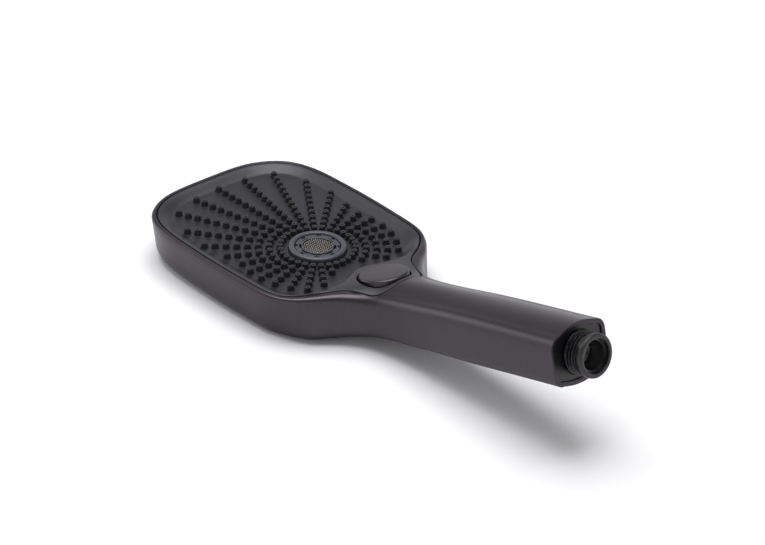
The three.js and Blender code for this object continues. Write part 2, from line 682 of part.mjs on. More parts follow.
function springGuide() {
  const low = GUIDE.top - GUIDE.thickness;
  const high = GUIDE.top + GUIDE.collarHeight;
  const bore = CARRIER.stem + SLIDE;
  const outside = GUIDE.collar + GUIDE.collarWall;
  return turned([
    [bore, low], [CARTRIDGE.outer, low], [CARTRIDGE.outer, GUIDE.top], [outside, GUIDE.top],
    [outside, high], [GUIDE.collar, high], [GUIDE.collar, GUIDE.top], [bore, GUIDE.top],
  ]);
}

/** Coil spring between the guide and the carrier. */
function returnSpring() {
  const low = GUIDE.top + FIT + SPRING.wire / 2;
  const high = carrierTop - CARRIER.thickness - FIT - SPRING.wire / 2;
  const steps = Math.round(SPRING.turns * SPRING.stepsPerTurn);
  const points = Array.from({ length: steps + 1 }, (_, i) => {
    const turn = (i / steps) * SPRING.turns * Math.PI * 2;
    const height = lerp(low, high, i / steps);
    return new THREE.Vector3(SPRING.radius * Math.cos(turn), SPRING.radius * Math.sin(turn), height);
  });
  const wire = new THREE.Shape(circle(SPRING.wire / 2, SPRING.sides));
  return new THREE.ExtrudeGeometry(wire, { steps, extrudePath: new THREE.CatmullRomCurve3(points) });
}

const sealTop = GUIDE.top - GUIDE.thickness - FIT;
const driverTop = sealTop - STEM_SEAL.height - FIT;
const rotorTop = driverTop - DRIVER.height - DRIVER.toothHeight - SLIDE;
const discTop = rotorTop - ROTOR.height - FIT;
const seatTop = discTop - DISC.height - SLIDE;
const wellInner = CARTRIDGE.outer - CARTRIDGE.wall;

function stemSeal() {
  const bore = CARRIER.stem + SLIDE;
  return collar(bore + STEM_SEAL.thickness, bore, sealTop - STEM_SEAL.height, sealTop);
}

function ratchetDriver() {
  const low = driverTop - DRIVER.height;
  const sleeve = solid(collar(DRIVER.outer, CARRIER.stem + SLIDE, low, driverTop));
  const reach = DRIVER.outer - DRIVER.toothInset;
  const teeth = around(DRIVER.teeth, (angle) => {
    const tooth = new THREE.BoxGeometry(DRIVER.toothLength, DRIVER.toothWidth, 2 * DRIVER.toothHeight);
    return solid(tooth.translate(reach - DRIVER.toothLength / 2, 0, low).rotateZ(angle));
  });
  return geometryOf(join(sleeve, ...teeth));
}

function valveRotor() {
  const low = rotorTop - ROTOR.height;
  const body = solid(turned([
    [0, low], [ROTOR.outer, low], [ROTOR.outer, rotorTop], [ROTOR.recess, rotorTop],
    [ROTOR.recess, rotorTop - ROTOR.recessDepth], [0, rotorTop - ROTOR.recessDepth],
  ]));
  return geometryOf(cut(body, bar(DISC.port, low - CLEAR, rotorTop + CLEAR, DISC.portCircle, 0, 10)));
}

function valveDisc() {
  const low = discTop - DISC.height;
  const disc = solid(turned([[0, low], [ROTOR.outer, low], [ROTOR.outer, discTop], [0, discTop]]));
  return geometryOf(cut(disc, bar(DISC.port, low - CLEAR, discTop + CLEAR, DISC.portCircle, 0, 10)));
}

function valveSeat() {
  const low = seatTop - SEAT.height;
  const rim = wellInner - FIT;
  const plate = solid(turned([[0, low], [rim, low], [rim, seatTop], [0, seatTop]]));
  const ports = { holes: SEAT.ports, holeRadius: DISC.port, holeCircle: DISC.portCircle };
  return geometryOf(cut(plate, ...barCircle(ports, low, seatTop)));
}

const socketOuter = TUBE.outer + FIT + SOCKET.wall;
const outletHeight = CARTRIDGE.bottom + CARTRIDGE.outletUp;

/** Cup of the valve, with the inlet socket on its handle side and two outlets to the head. */
function cartridgeBody() {
  const along = (radius, from, to) => barX(radius, from, to, 0, -HANDLE.axisBelow);
  const mouth = CARTRIDGE.outer + SOCKET.length;
  const cup = bar(CARTRIDGE.outer, CARTRIDGE.bottom, CARTRIDGE.top, 0, 0, 24);
  const inlet = along(socketOuter, CLEAR, mouth);
  const well = bar(wellInner, CARTRIDGE.bottom + CARTRIDGE.floor, CARTRIDGE.top + CLEAR, 0, 0, 24);
  const bore = along(TUBE.inner, CLEAR, mouth);
  const socket = along(TUBE.outer + FIT, CARTRIDGE.outer + SOCKET.stop, mouth + CLEAR);
  const seat = along(TUBE.outer + SOCKET.sealSeat + FIT, mouth - SOCKET.sealDepth, mouth + CLEAR);
  const outlets = [1, -1].map((side) =>
    barX(DUCT.bore, -CARTRIDGE.outer - CLEAR, -CARTRIDGE.outer / 2, side * DUCT.apart, outletHeight, 12));
  const headroom = bar(CARTRIDGE.outer + FIT, CARTRIDGE.top, 0, 0, 0, 24);
  return geometryOf(cut(join(cup, inlet), headroom, well, bore, socket, seat, ...outlets));
}

// ---------------------------------------------------------------- handle, drawn on its axis
// x runs to the hose along the handle's axis from the bend's corner, and z out of its top.

const endFace = onHandle(HANDLE.end);
const capFace = endFace - CAP.recess;
const tipAt = capFace + THREAD.length;
const threadRoot = THREAD.radius - THREAD.depth;
const mouthRadius = THREAD.radius - CONNECTOR.wall;
const boreRadius = mouthRadius - CONNECTOR.ledge;
const tubeFrom = BUTTON.along + CARTRIDGE.outer + SOCKET.stop + FIT;
const tailEnd = capFace - CAP.thickness - CONNECTOR.flangeThickness - SOCKET.length;

/** Lays a body drawn about +Z on the water's axis through the handle. */
const alongHandle = (geometry) => geometry.rotateY(Math.PI / 2).translate(0, 0, -HANDLE.axisBelow);

/** Ring about the water's axis between two places on it. */
const handleRing = (outer, inner, from, to, segments) =>
  alongHandle(collar(outer, inner, from, to, segments));

const waterTube = () =>
  handleRing(TUBE.outer, TUBE.inner, tubeFrom, tailEnd + SOCKET.length - SOCKET.stop - FIT);

/** Seal round the water tube that starts at a place on the handle's axis. */
const tubeSeal = (from) =>
  handleRing(TUBE.outer + SOCKET.sealSeat, TUBE.outer + FIT, from + FIT, from + SOCKET.sealDepth - FIT);

function endCap() {
  const plug = cut(paddle(WALL + FIT), endCutter(HANDLE.end - CAP.recess));
  const inside = new THREE.BoxGeometry(6 * FAR, 2 * FAR, 2 * FAR);
  const behind = inside.translate(capFace - CAP.thickness - 3 * FAR, 0, 0);
  const hole = handleRing(THREAD.radius + FIT, 0, capFace - FAR, capFace + FAR, 24);
  return geometryOf(cut(plug, solid(fromHandle(behind)), solid(fromHandle(hole))));
}

/** Threaded hose end, its flange behind the cap, and the socket for the water tube. */
function hoseConnector() {
  const { radius, pitch, chamfer, crest } = THREAD;
  const crestStart = tipAt - THREAD.plainEnd;
  const crests = Array.from({ length: THREAD.crests }, (_, i) => {
    const peak = crestStart - (i + 0.75) * pitch;
    return [[threadRoot, peak + pitch / 2], [radius, peak + crest / 2], [radius, peak - crest / 2]];
  }).flat();
  const flange = capFace - CAP.thickness - FIT;
  const flangeEnd = flange - CONNECTOR.flangeThickness;
  const flangeRadius = radius + CONNECTOR.flangeReach;
  const tubeRoom = TUBE.outer + FIT;
  const sealRoom = tubeRoom + SOCKET.sealSeat;
  const tail = TUBE.outer + SOCKET.sealSeat + SOCKET.wall;
  const stop = tailEnd + SOCKET.length - SOCKET.stop;
  const seatAt = tipAt - CONNECTOR.regulatorSeat;
  const ledge = tipAt - CONNECTOR.mouthDepth;
  const outer = [
    [mouthRadius, tipAt], [radius - chamfer, tipAt], [radius, tipAt - chamfer], [radius, crestStart],
    ...crests, [threadRoot, capFace - chamfer], [threadRoot, flange], [flangeRadius, flange],
    [flangeRadius, flangeEnd], [tail, flangeEnd], [tail, tailEnd],
  ];
  const inner = [
    [sealRoom, tailEnd], [sealRoom, tailEnd + SOCKET.sealDepth], [tubeRoom, tailEnd + SOCKET.sealDepth],
    [tubeRoom, stop], [TUBE.inner, stop], [TUBE.inner, seatAt], [boreRadius, seatAt],
    [boreRadius, ledge], [mouthRadius, ledge],
  ];
  return alongHandle(turned([...outer, ...inner].reverse(), 18));
}

function flowRegulator() {
  const low = tipAt - CONNECTOR.regulatorSeat + FIT;
  const high = low + REGULATOR.thickness;
  const edge = boreRadius - FIT;
  const holeCircle = edge - REGULATOR.rim - REGULATOR.holeRadius;
  const disc = bar(edge, low, high, 0, 0, 20);
  return alongHandle(geometryOf(cut(disc, ...barCircle({ ...REGULATOR, holeCircle }, low, high))));
}

function strainerRing() {
  const low = tipAt - CONNECTOR.regulatorSeat + FIT + REGULATOR.thickness + FIT;
  const edge = boreRadius - FIT;
  return handleRing(edge, edge - STRAINER.rim, low, low + STRAINER.height);
}

/** Passage from the valve to the chamber on one side, in the face frame. */
function outletDuct(side) {
  const axis = new THREE.Vector3(Math.cos(HANDLE.tilt), 0, Math.sin(HANDLE.tilt));
  const up = new THREE.Vector3(-Math.sin(HANDLE.tilt), 0, Math.cos(HANDLE.tilt));
  const start = new THREE.Vector3(SPRAY.neckSide - CLEAR, side * DUCT.apart, DUCT.height);
  const end = new THREE.Vector3(HANDLE.bendAt, side * DUCT.apart, 0)
    .addScaledVector(axis, BUTTON.along - CARTRIDGE.outer / 2)
    .addScaledVector(up, outletHeight);
  const shape = new THREE.Shape(circle(DUCT.outer, 12));
  shape.holes.push(new THREE.Path(circle(DUCT.bore, 12)));
  const pipe = new THREE.ExtrudeGeometry(shape, { steps: 1, extrudePath: new THREE.LineCurve3(start, end) });
  const cup = bar(CARTRIDGE.outer + FIT, -FAR, FAR, BUTTON.along, 0, 24);
  const head = new THREE.BoxGeometry(FAR, FAR, FAR).translate(SPRAY.neckSide + FIT - FAR / 2, 0, 0);
  return geometryOf(cut(solid(pipe), solid(head), solid(fromHandle(geometryOf(cup)))));
}

// ---------------------------------------------------------------- assembly

const assembly = new THREE.Group();
const handle = new THREE.Group();
handle.position.x = HANDLE.bendAt;
handle.rotation.y = -HANDLE.tilt;
const selector = new THREE.Group();
selector.position.x = BUTTON.along;
handle.add(selector);
assembly.add(handle);

function add(group, name, geometry, finish) {
  const mesh = new THREE.Mesh(geometry, paint(...finish));
  mesh.name = name;
  group.add(mesh);
  return mesh;
}

add(assembly, "housing", housing(), GUNMETAL);
add(assembly, "face_plate", facePlate(), SATIN_DARK);
add(assembly, "nozzle_mat", nozzleMat(), SILICONE);
add(assembly, "spray_ring", sprayRing(), GREY_PLASTIC);
add(assembly, "jet_ring", jetRing(), GREY_PLASTIC);
add(assembly, "mesh_retainer", meshRetainer(), GREY_PLASTIC);
add(assembly, "mesh_screen", meshScreen(), STEEL);
add(assembly, "aerator_body", aeratorBody(), WHITE_POM);
add(assembly, "spray_plate", sprayPlate(), BLACK_PLASTIC);
add(assembly, "chamber_gasket", chamberGasket(), RUBBER);
add(assembly, "water_chamber", waterChamber(), BLACK_PLASTIC);
add(assembly, "jet_tube", jetTube(), BLACK_PLASTIC);
screwPlaces.forEach(([x, y], i) => {
  add(assembly, `chamber_screw_${i + 1}`, chamberScrew(), STEEL).position.set(x, y, 0);
});
add(assembly, "rain_duct", outletDuct(1), BLACK_PLASTIC);
add(assembly, "jet_duct", outletDuct(-1), BLACK_PLASTIC);

add(selector, "button_cap", buttonCap(), GUNMETAL);
add(selector, "button_carrier", buttonCarrier(), WHITE_POM);
add(selector, "return_spring", returnSpring(), STEEL);
add(selector, "spring_guide", springGuide(), BLACK_PLASTIC);
add(selector, "stem_seal", stemSeal(), RUBBER);
add(selector, "ratchet_driver", ratchetDriver(), WHITE_POM);
add(selector, "valve_rotor", valveRotor(), WHITE_POM);
add(selector, "valve_disc", valveDisc(), STEEL);
add(selector, "valve_seat", valveSeat(), RUBBER);
add(selector, "cartridge_body", cartridgeBody(), BLACK_PLASTIC);

add(handle, "water_tube", waterTube(), WHITE_POM);
const frontSealAt = BUTTON.along + CARTRIDGE.outer + SOCKET.length - SOCKET.sealDepth;
add(handle, "tube_seal_front", tubeSeal(frontSealAt), RUBBER);
add(handle, "tube_seal_rear", tubeSeal(tailEnd), RUBBER);
add(assembly, "end_cap", endCap(), BLACK_PLASTIC);
add(handle, "hose_connector", hoseConnector(), BLACK_PLASTIC);
add(handle, "flow_regulator", flowRegulator(), WHITE_POM);
add(handle, "strainer_ring", strainerRing(), STEEL);

// The origin is the middle of the footprint, on the surface that the back lies on.
assembly.updateMatrixWorld(true);
const box = new THREE.Box3().setFromObject(assembly, true);
assembly.position.set(-(box.min.x + box.max.x) / 2, -(box.min.y + box.max.y) / 2, -box.min.z);

export default assembly;
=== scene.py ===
"""Visual model of a handheld shower head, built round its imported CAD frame.

Lengths are metres. The face frame has its origin at the middle of the spray ring, in the plane of the
nozzle tips: X runs to the handle and Z out of the spray face. "Along" is measured on a line that runs
flat through the head and bends up into the handle; heights are measured square to that line.
"""

import math

import bmesh
import bpy
import numpy as np
from bpy.props import FloatProperty, FloatVectorProperty, IntProperty, PointerProperty
from mathutils import Matrix, Vector


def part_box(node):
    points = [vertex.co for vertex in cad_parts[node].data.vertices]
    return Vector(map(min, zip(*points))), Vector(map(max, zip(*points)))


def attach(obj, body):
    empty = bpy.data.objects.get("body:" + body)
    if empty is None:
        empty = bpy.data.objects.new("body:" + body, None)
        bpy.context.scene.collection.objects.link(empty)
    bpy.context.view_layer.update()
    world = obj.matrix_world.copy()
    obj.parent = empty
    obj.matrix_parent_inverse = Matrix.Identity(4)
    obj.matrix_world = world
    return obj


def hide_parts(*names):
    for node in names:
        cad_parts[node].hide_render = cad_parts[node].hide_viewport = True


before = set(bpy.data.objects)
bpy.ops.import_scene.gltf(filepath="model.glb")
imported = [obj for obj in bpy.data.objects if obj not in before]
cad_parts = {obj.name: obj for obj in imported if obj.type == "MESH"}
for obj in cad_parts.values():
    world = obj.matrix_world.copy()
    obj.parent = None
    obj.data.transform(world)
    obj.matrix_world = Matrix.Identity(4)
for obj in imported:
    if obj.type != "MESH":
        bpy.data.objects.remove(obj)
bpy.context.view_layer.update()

bl_info = {
    "name": "Handheld Shower Head",
    "version": (1, 0, 0),
    "blender": (4, 5, 0),
    "location": "View3D > Sidebar > Shower Head",
    "description": "Builds the visible skin of a handheld shower head round its CAD frame",
    "category": "Object",
}

MM = 0.001

# ---------------------------------------------------------------- outlines

# Plan of the head as shares of its reach and half width, from the far end to the neck.
HEAD_OUTLINE = (
    (-1, 0), (-0.998, 0.28), (-0.979, 0.521), (-0.921, 0.73), (-0.825, 0.886),
    (-0.664, 0.974), (-0.443, 0.996), (-0.221, 1), (0, 0.987), (0.2, 0.963),
)
# Neck: place along the body in mm, and how much of the head's extra width is left there.
NECK_OUTLINE = ((28, 0.837), (37, 0.626), (46, 0.313), (56, 0.105), (70, 0.005))
# Tongue of the face plate: place along the body and half width, in mm.
TONGUE_OUTLINE = ((35.8, 36.3), (40.4, 28.8), (43, 24.8), (46.2, 21.9), (50, 19.9), (54.5, 18))
# How far the top falls from its middle to its sides, and how much deeper the back lies, in mm.
CROWN = ((20, 0), (45, 1.5), (60, 3.6), (80, 3.5), (120, 2.4), (181, 2.6))
DEPTH_GAIN = ((23.7, 0), (30, 0.3), (40, 1.6), (50, 3.3), (60, 4.6), (80, 5.9), (100, 5.5), (181, 4.7))
PAST_END = 8 * MM  # the paddle is drawn longer than the handle and cut off square
INSIDE_PAST_END = 3 * MM  # the inside runs out through the handle's end
SPINE_FROM = 35 * MM  # the rings close on a line that starts this far from the head's end
BACK_CROWN = 0.8  # the back's crown as a share of the top's
SMALLEST_CORNER = 0.6 * MM
TONGUE_SPINE = 16 * MM  # where the tongue's middle line ends, before its tip
PAST_HEAD, PAST_SIDES, PAST_BACK = 200, 60, 80  # in mm, clear of the whole part for a cutter
# Nozzles on each spoke, from the one towards the handle round to the opposite one.
NOZZLE_ROWS = (1, 1, 2, 4, 5, 5, 5, 5, 5, 5, 6, 8, 10, 12, 12, 12)
INNER_NOZZLE = 0.9  # the first circle's nozzles against the others
RING_TOP = 0.3  # spray ring over the nozzle tips, in mm
BUTTON_POWER = 2.1  # 2 is an ellipse, more is squarer
BUTTON_STEPS = 160


def linear(code):
    """Linear colour of an sRGB hex value."""
    parts = [int(code[i:i + 2], 16) / 255 for i in (0, 2, 4)]
    return tuple(c / 12.92 if c <= 0.04045 else ((c + 0.055) / 1.055) ** 2.4 for c in parts)


def length(name, description, millimetres):
    return FloatProperty(name=name, description=description, default=millimetres * MM, unit="LENGTH")


def colour(name, description, code):
    return FloatVectorProperty(name=name, description=description, default=linear(code), subtype="COLOR")


class ShellSizes(bpy.types.PropertyGroup):
    """Sizes of the housing, head and handle."""

    head_reach: length("Head reach", "Spray ring's centre to the head's far end", 90.3)
    head_half_width: length("Head half width", "Half of the head's greatest width", 53.7)
    head_depth: length("Head depth", "Nozzle tips to the flat back", 24.3)
    rim_top: length("Rim top", "Height of the rim over the nozzle tips", 0.2)
    rim: length("Rim width", "Rim round the face plate", 2.5)
    wall: length("Wall", "Thickness of the housing wall", 2.2)
    corner_top: length("Rim corner", "Radius of the rim's outer edge", 1.2)
    corner_back: length("Back corner", "Radius of the back edge at the far end", 8.8)
    neck_corner_back: length("Neck back corner", "Radius of the back edge at the neck", 6.3)
    draft: length("Draft", "How far the wall leans in at the far end", 1.7)
    neck_draft: length("Neck draft", "How far the wall leans in at the neck", 2.3)
    neck_start: length("Neck start", "Where the head's section starts to change", 25)
    neck_end: length("Neck end", "Where the handle's own section starts", 67)
    tilt: FloatProperty(
        name="Handle tilt", description="Angle of the handle to the spray face",
        default=math.radians(15), subtype="ANGLE")
    bend_at: length("Bend corner", "Where the handle's line meets the head's", 29)
    bend_radius: length("Bend radius", "Radius of the bend between them", 40)
    end: length("Handle end", "Place of the handle's end along the body", 180.9)
    half_width: length("Handle half width", "Half of the handle's width at its end", 17.6)
    waist: length("Handle waist", "Half of its width at its slimmest", 16.6)
    handle_corner_top: length("Handle top corner", "Radius of the handle's upper corners", 6)
    handle_corner_back: length("Handle back corner", "Radius of the handle's lower corners", 5.5)
    axis_below: length("Water axis", "Hose thread's axis below the handle's top", 14.4)
    end_chamfer: length("End chamfer", "Bright edge of the handle's open end", 0.45)


class FaceSizes(bpy.types.PropertyGroup):
    """Sizes of the face plate and its nozzles."""

    gap: length("Plate gap", "Open line round the face plate", 0.6)
    thickness: length("Plate thickness", "Thickness of the face plate", 1.8)
    dish_floor: length("Dish floor", "Dish floor against the nozzle tips", -2.7)
    dish_blend: length("Dish blend", "Width of the dish's rising edge", 8)
    crease_at: length("Crease", "Place of the fold between dish and tongue", 28)
    crease_width: length("Crease width", "Width of that fold", 3.5)
    tongue_end: length("Tongue end", "Tip of the tongue", 66)
    tongue_corner_at: length("Tongue corner", "Place of the tongue's corners", 59.6)
    tongue_corner_half: length("Tongue corner half width", "Half width at those corners", 16)
    shoulder_length: length("Tongue shoulder", "Length of the tongue's rounded corner", 2)
    shoulder_drop: length("Tongue shoulder width", "Width of the tongue's rounded corner", 2.4)
    tip_bulge: length("Tongue tip", "How far the tip lies past the rest of the tongue's end", 1.6)
    crease_bow: length("Crease bow", "How much nearer the handle the fold's sides lie than its middle", 8)
    crease_spread: length("Crease spread", "Half width of the fold's bowed middle", 12)
    spokes: IntProperty(name="Spokes", description="Rows of nozzles round the spray ring", default=30)
    first_radius: length("First nozzle", "Radius of the first nozzle circle", 19.05)
    pitch: length("Nozzle pitch", "Distance between nozzles on a spoke", 5.42)
    nozzle_radius: length("Nozzle radius", "Radius of a nozzle at the dish floor", 2.05)
    tip_radius: length("Nozzle tip radius", "Radius of a nozzle just under its flat tip", 1.42)
    mat_margin: length("Mat margin", "Nozzle mat's edge inside the face plate's", 5)
    mat_end: length("Mat end", "Where the nozzle mat ends towards the button", 33.5)


class SpraySizes(bpy.types.PropertyGroup):
    """Sizes of the centre spray."""

    ring_outer: length("Ring radius", "Outer radius of the spray ring", 14.7)
    ring_inner: length("Ring opening", "Inner radius of the spray ring", 11.8)
    jet_outer: length("Jet ring radius", "Outer radius of the notched ring", 11.4)
    jet_inner: length("Jet ring opening", "Inner radius of the notched ring", 9.3)
    retainer_outer: length("Retainer radius", "Outer radius of the mesh retainer", 8.3)
    retainer_inner: length("Mesh radius", "Radius of the wire mesh that shows", 7.5)
    mesh_pitch: length("Mesh pitch", "Distance between the mesh's wires", 1.05)
    mesh_wire: length("Mesh wire", "Radius of the mesh's wires", 0.23)
    mesh_depth: length("Mesh depth", "Middle of the mesh under the nozzle tips", 0.85)


class ButtonSizes(bpy.types.PropertyGroup):
    """Sizes of the push button."""

    along: length("Place", "Button's centre from the bend's corner", 20.8)
    half_width: length("Half width", "Half of the button's width", 12.5)
    half_length: length("Half length", "Half of the button's length", 12.5)
    proud: length("Height", "Button's top over the neck", 1.5)
    thickness: length("Thickness", "Button's thickness", 3.5)
    gap: length("Gap", "Open line round the button", 0.95)


class HoseSizes(bpy.types.PropertyGroup):
    """Sizes of the hose end."""

    recess: length("Cap recess", "End cap behind the handle's end", 0.7)
    cap_thickness: length("Cap thickness", "Thickness of the end cap", 3)
    thread_radius: length("Thread radius", "Outer radius of the hose thread", 10.45)
    thread_root: length("Thread root", "Root radius of the hose thread", 9.35)
    thread_pitch: length("Thread pitch", "Pitch of the hose thread", 1.814)
    plain_end: length("Plain end", "Length of the plain leading ring", 3.4)
    reach: length("Reach", "Length of the hose end past the end cap", 11.2)
    mouth: length("Mouth", "Radius of the bore at its mouth", 8.15)
    mouth_depth: length("Mouth depth", "Depth of the wide mouth", 2.2)
    bore: length("Bore", "Radius of the bore behind the mouth", 6.9)


class Finishes(bpy.types.PropertyGroup):
    """Colours of the finishes."""

    gunmetal: colour("Gunmetal", "Brushed plating of housing and button", "464247")
    plate: colour("Face plate", "Satin moulded plate", "13131d")
    silicone: colour("Silicone", "Nozzle mat", "0b0c12")
    ring: colour("Spray ring", "Satin grey plastic of the centre spray", "3a3c44")
    wire: colour("Wire", "Woven stainless wire", "7a7673")
    black: colour("Black plastic", "Hose end and end cap", "07080c")
    natural: colour("Natural acetal", "Moving parts and water tube", "d9d7cf")
    rubber: colour("Seal rubber", "Seals and gasket", "0c0c0d")
    steel: colour("Bright steel", "Spring, screws and valve disc", "a9a9a7")
    floor: colour("Floor", "Studio floor", "eeeef0")


# ---------------------------------------------------------------- small tools


def vector(x, y, z):
    return np.stack(np.broadcast_arrays(x, y, z), axis=-1).astype(float)


def profile(rows, along):
    """Smooth line through (place, value) rows in mm, level past both ends."""
    x, y = np.array(rows, float).T * MM
    slope = np.zeros_like(y)
    slope[1:-1] = (y[2:] - y[:-2]) / (x[2:] - x[:-2])
    at = np.clip(along, x[0], x[-1])
    i = np.clip(np.searchsorted(x, at, side="right") - 1, 0, len(x) - 2)
    span = x[i + 1] - x[i]
    t = (at - x[i]) / span
    bulge = slope[i] * t * (1 - t) ** 2 - slope[i + 1] * t * t * (1 - t)
    return y[i] + (y[i + 1] - y[i]) * t * t * (3 - 2 * t) + span * bulge


def smoothstep(value, low, high):
    t = np.clip((value - low) / (high - low), 0, 1)
    return t * t * (3 - 2 * t)


def mix(a, b, t):
    return a + (b - a) * t


def through(points, steps):
    """Catmull-Rom line through points."""
    points = np.array(points, float)
    last = len(points) - 1
    line = []
    for k in range(steps + 1):
        place = k / steps * last
        i = min(int(place), last - 1)
        t = place - i
        a, b = points[i], points[i + 1]
        before, after = points[max(i - 1, 0)], points[min(i + 2, last)]
        v0, v1 = (b - before) / 2, (after - a) / 2
        line.append((2 * a - 2 * b + v0 + v1) * t ** 3 + (3 * b - 3 * a - 2 * v0 - v1) * t ** 2 + v0 * t + a)
    return np.array(line)


def mirrored(half):
    """Whole outline, anticlockwise, from the half with y >= 0 that runs from -X to +X."""
    return np.vstack([half * (1, -1), half[1:-1][::-1]])


def evened(loop, count, rounds):
    """The outline with equal steps, its curvature evened out a little."""
    closed = np.vstack([loop, loop[:1]])
    run = np.r_[0, np.cumsum(np.linalg.norm(np.diff(closed, axis=0), axis=1))]
    at = np.linspace(0, run[-1], count, endpoint=False)
    even = np.stack([np.interp(at, run, closed[:, k]) for k in (0, 1)], axis=1)
    for _ in range(rounds):
        even = (np.roll(even, 1, 0) + 2 * even + np.roll(even, -1, 0)) / 4
    mirror = np.roll(even[::-1], 1, 0) * (1, -1)
    return (even + mirror) / 2


def inward(loop):
    run = np.roll(loop, -1, 0) - np.roll(loop, 1, 0)
    run /= np.linalg.norm(run, axis=1)[:, None]
    return np.stack([-run[:, 1], run[:, 0]], axis=1)


def inset(loop, distance):
    return loop + inward(loop) * distance


def skin(rings):
    """Closed quad mesh through rings stacked from the top down; doubled points are merged."""
    count = len(rings[0])
    mesh = bmesh.new()
    rows = [[mesh.verts.new(p) for p in ring] for ring in rings]
    for top, low in zip(rows, rows[1:]):
        for i in range(count):
            k = (i + 1) % count
            mesh.faces.new((top[i], low[i], low[k], top[k]))
    bmesh.ops.remove_doubles(mesh, verts=mesh.verts, dist=0.002 * MM)
    bmesh.ops.dissolve_degenerate(mesh, edges=mesh.edges, dist=0.001 * MM)
    return mesh


def turned(points, segments=96):
    """Turned body about +Z from (radius, z) points in mm, anticlockwise in the half plane."""
    angles = np.linspace(0, 2 * math.pi, segments, endpoint=False)
    ring = [vector(r * MM * np.cos(angles), r * MM * np.sin(angles), z * MM) for r, z in points]
    return skin(ring[::-1])


def closed_turn(points, segments=96):
    """Turned body whose outline doesn't reach the axis."""
    return turned([*points, points[0]], segments)


def joined(*meshes):
    """One mesh from several."""
    whole = bmesh.new()
    for part in meshes:
        verts = [whole.verts.new(v.co) for v in part.verts]
        part.verts.index_update()
        for face in part.faces:
            whole.faces.new([verts[v.index] for v in face.verts])
        part.free()
    return whole


def object_from(mesh, name):
    """Object from a bmesh, which it frees, with its faces turned outwards."""
    bmesh.ops.recalc_face_normals(mesh, faces=mesh.faces)
    if mesh.calc_volume(signed=True) < 0:
        bmesh.ops.reverse_faces(mesh, faces=mesh.faces)
    data = bpy.data.meshes.new(name)
    mesh.to_mesh(data)
    mesh.free()
    made = bpy.data.objects.new(name, data)
    bpy.context.scene.collection.objects.link(made)
    return made


def cut(body, *tools):
    """Cuts the tools' meshes out of a mesh; raises if a tool changes nothing."""
    target = object_from(body, "cut_target")
    for tool in tools:
        cutter = object_from(tool, "cut_tool")
        modifier = target.modifiers.new("cut", "BOOLEAN")
        modifier.operation = "DIFFERENCE"
        modifier.solver = "MANIFOLD"
        modifier.object = cutter
        graph = bpy.context.evaluated_depsgraph_get()
        result = bpy.data.meshes.new_from_object(target.evaluated_get(graph))
        target.modifiers.clear()
        bpy.data.objects.remove(cutter)
        if len(result.vertices) == len(target.data.vertices):
            raise RuntimeError("a cut left its body as it was")
        target.data = result
    left = bmesh.new()
    left.from_mesh(target.data)
    bpy.data.objects.remove(target)
    return left


def soften(mesh, chosen, width, segments=3):
    """Rounds the edges that chosen(edge) picks."""
    edges = [edge for edge in mesh.edges if chosen(edge)]
    bmesh.ops.bevel(mesh, geom=edges, offset=width, offset_type="OFFSET", segments=segments,
                    profile=0.5, affect="EDGES", clamp_overlap=True)
    return mesh


def sharp(edge, least=math.radians(35)):
    return len(edge.link_faces) == 2 and edge.calc_face_angle(0) > least


# ---------------------------------------------------------------- shape of the body


def face_origin():
    """The face frame's origin in the CAD's frame, found from the spray ring."""
    low, high = (np.array(corner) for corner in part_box("spray_ring"))
    return np.array([(low[0] + high[0]) / 2, (low[1] + high[1]) / 2, high[2] - RING_TOP * MM])


def shell():
    return bpy.context.scene.shower_shell


def bend_span():
    s = shell()
    start = s.bend_at - s.bend_radius * math.tan(s.tilt / 2)
    return start, start + s.bend_radius * s.tilt


def bent(along, side, height):
    """Face-frame points for places along the body, side offsets and heights over the line."""
    s = shell()
    start, end = bend_span()
    angle = np.clip((along - start) / s.bend_radius, 0, s.tilt)
    past = np.maximum(0, along - end)
    x = np.minimum(along, start) + s.bend_radius * np.sin(angle) + past * math.cos(s.tilt)
    z = s.bend_radius * (1 - np.cos(angle)) + past * math.sin(s.tilt)
    return vector(x - height * np.sin(angle), side, z + height * np.cos(angle))


def on_handle(along):
    """Distance along the handle's own axis, from the bend's corner."""
    s = shell()
    return along - bend_span()[1] + s.bend_radius * math.tan(s.tilt / 2)


def handle_matrix():
    """From the handle's axes (x along it, z out of its top) to the face frame."""
    s = shell()
    return Matrix.Translation((s.bend_at, 0, 0)) @ Matrix.Rotation(-s.tilt, 4, "Y")


def head_rows():
    s = shell()
    return [(x * s.head_reach / MM, y * s.head_half_width / MM) for x, y in HEAD_OUTLINE]


def neck_rows():
    s = shell()
    neck = [(x, mix(s.half_width, s.head_half_width, share) / MM) for x, share in NECK_OUTLINE]
    return [*neck, (95, s.waist / MM), (135, (s.waist + s.half_width) / 2 / MM)]


def housing_half(steps):
    s = shell()
    rows = [*head_rows(), *neck_rows(), ((s.end + PAST_END) / MM, s.half_width / MM)]
    return through(rows, steps) * MM


def housing_loop(count):
    half = housing_half(400)
    end = half[-1]
    loop = mirrored(np.vstack([half, end * (1, 0.5), end * (1, 0)]))
    return evened(loop, count, 6)


def half_width_at(along):
    s = shell()
    return profile([head_rows()[-1], *neck_rows(), (s.end / MM, s.half_width / MM)], along)


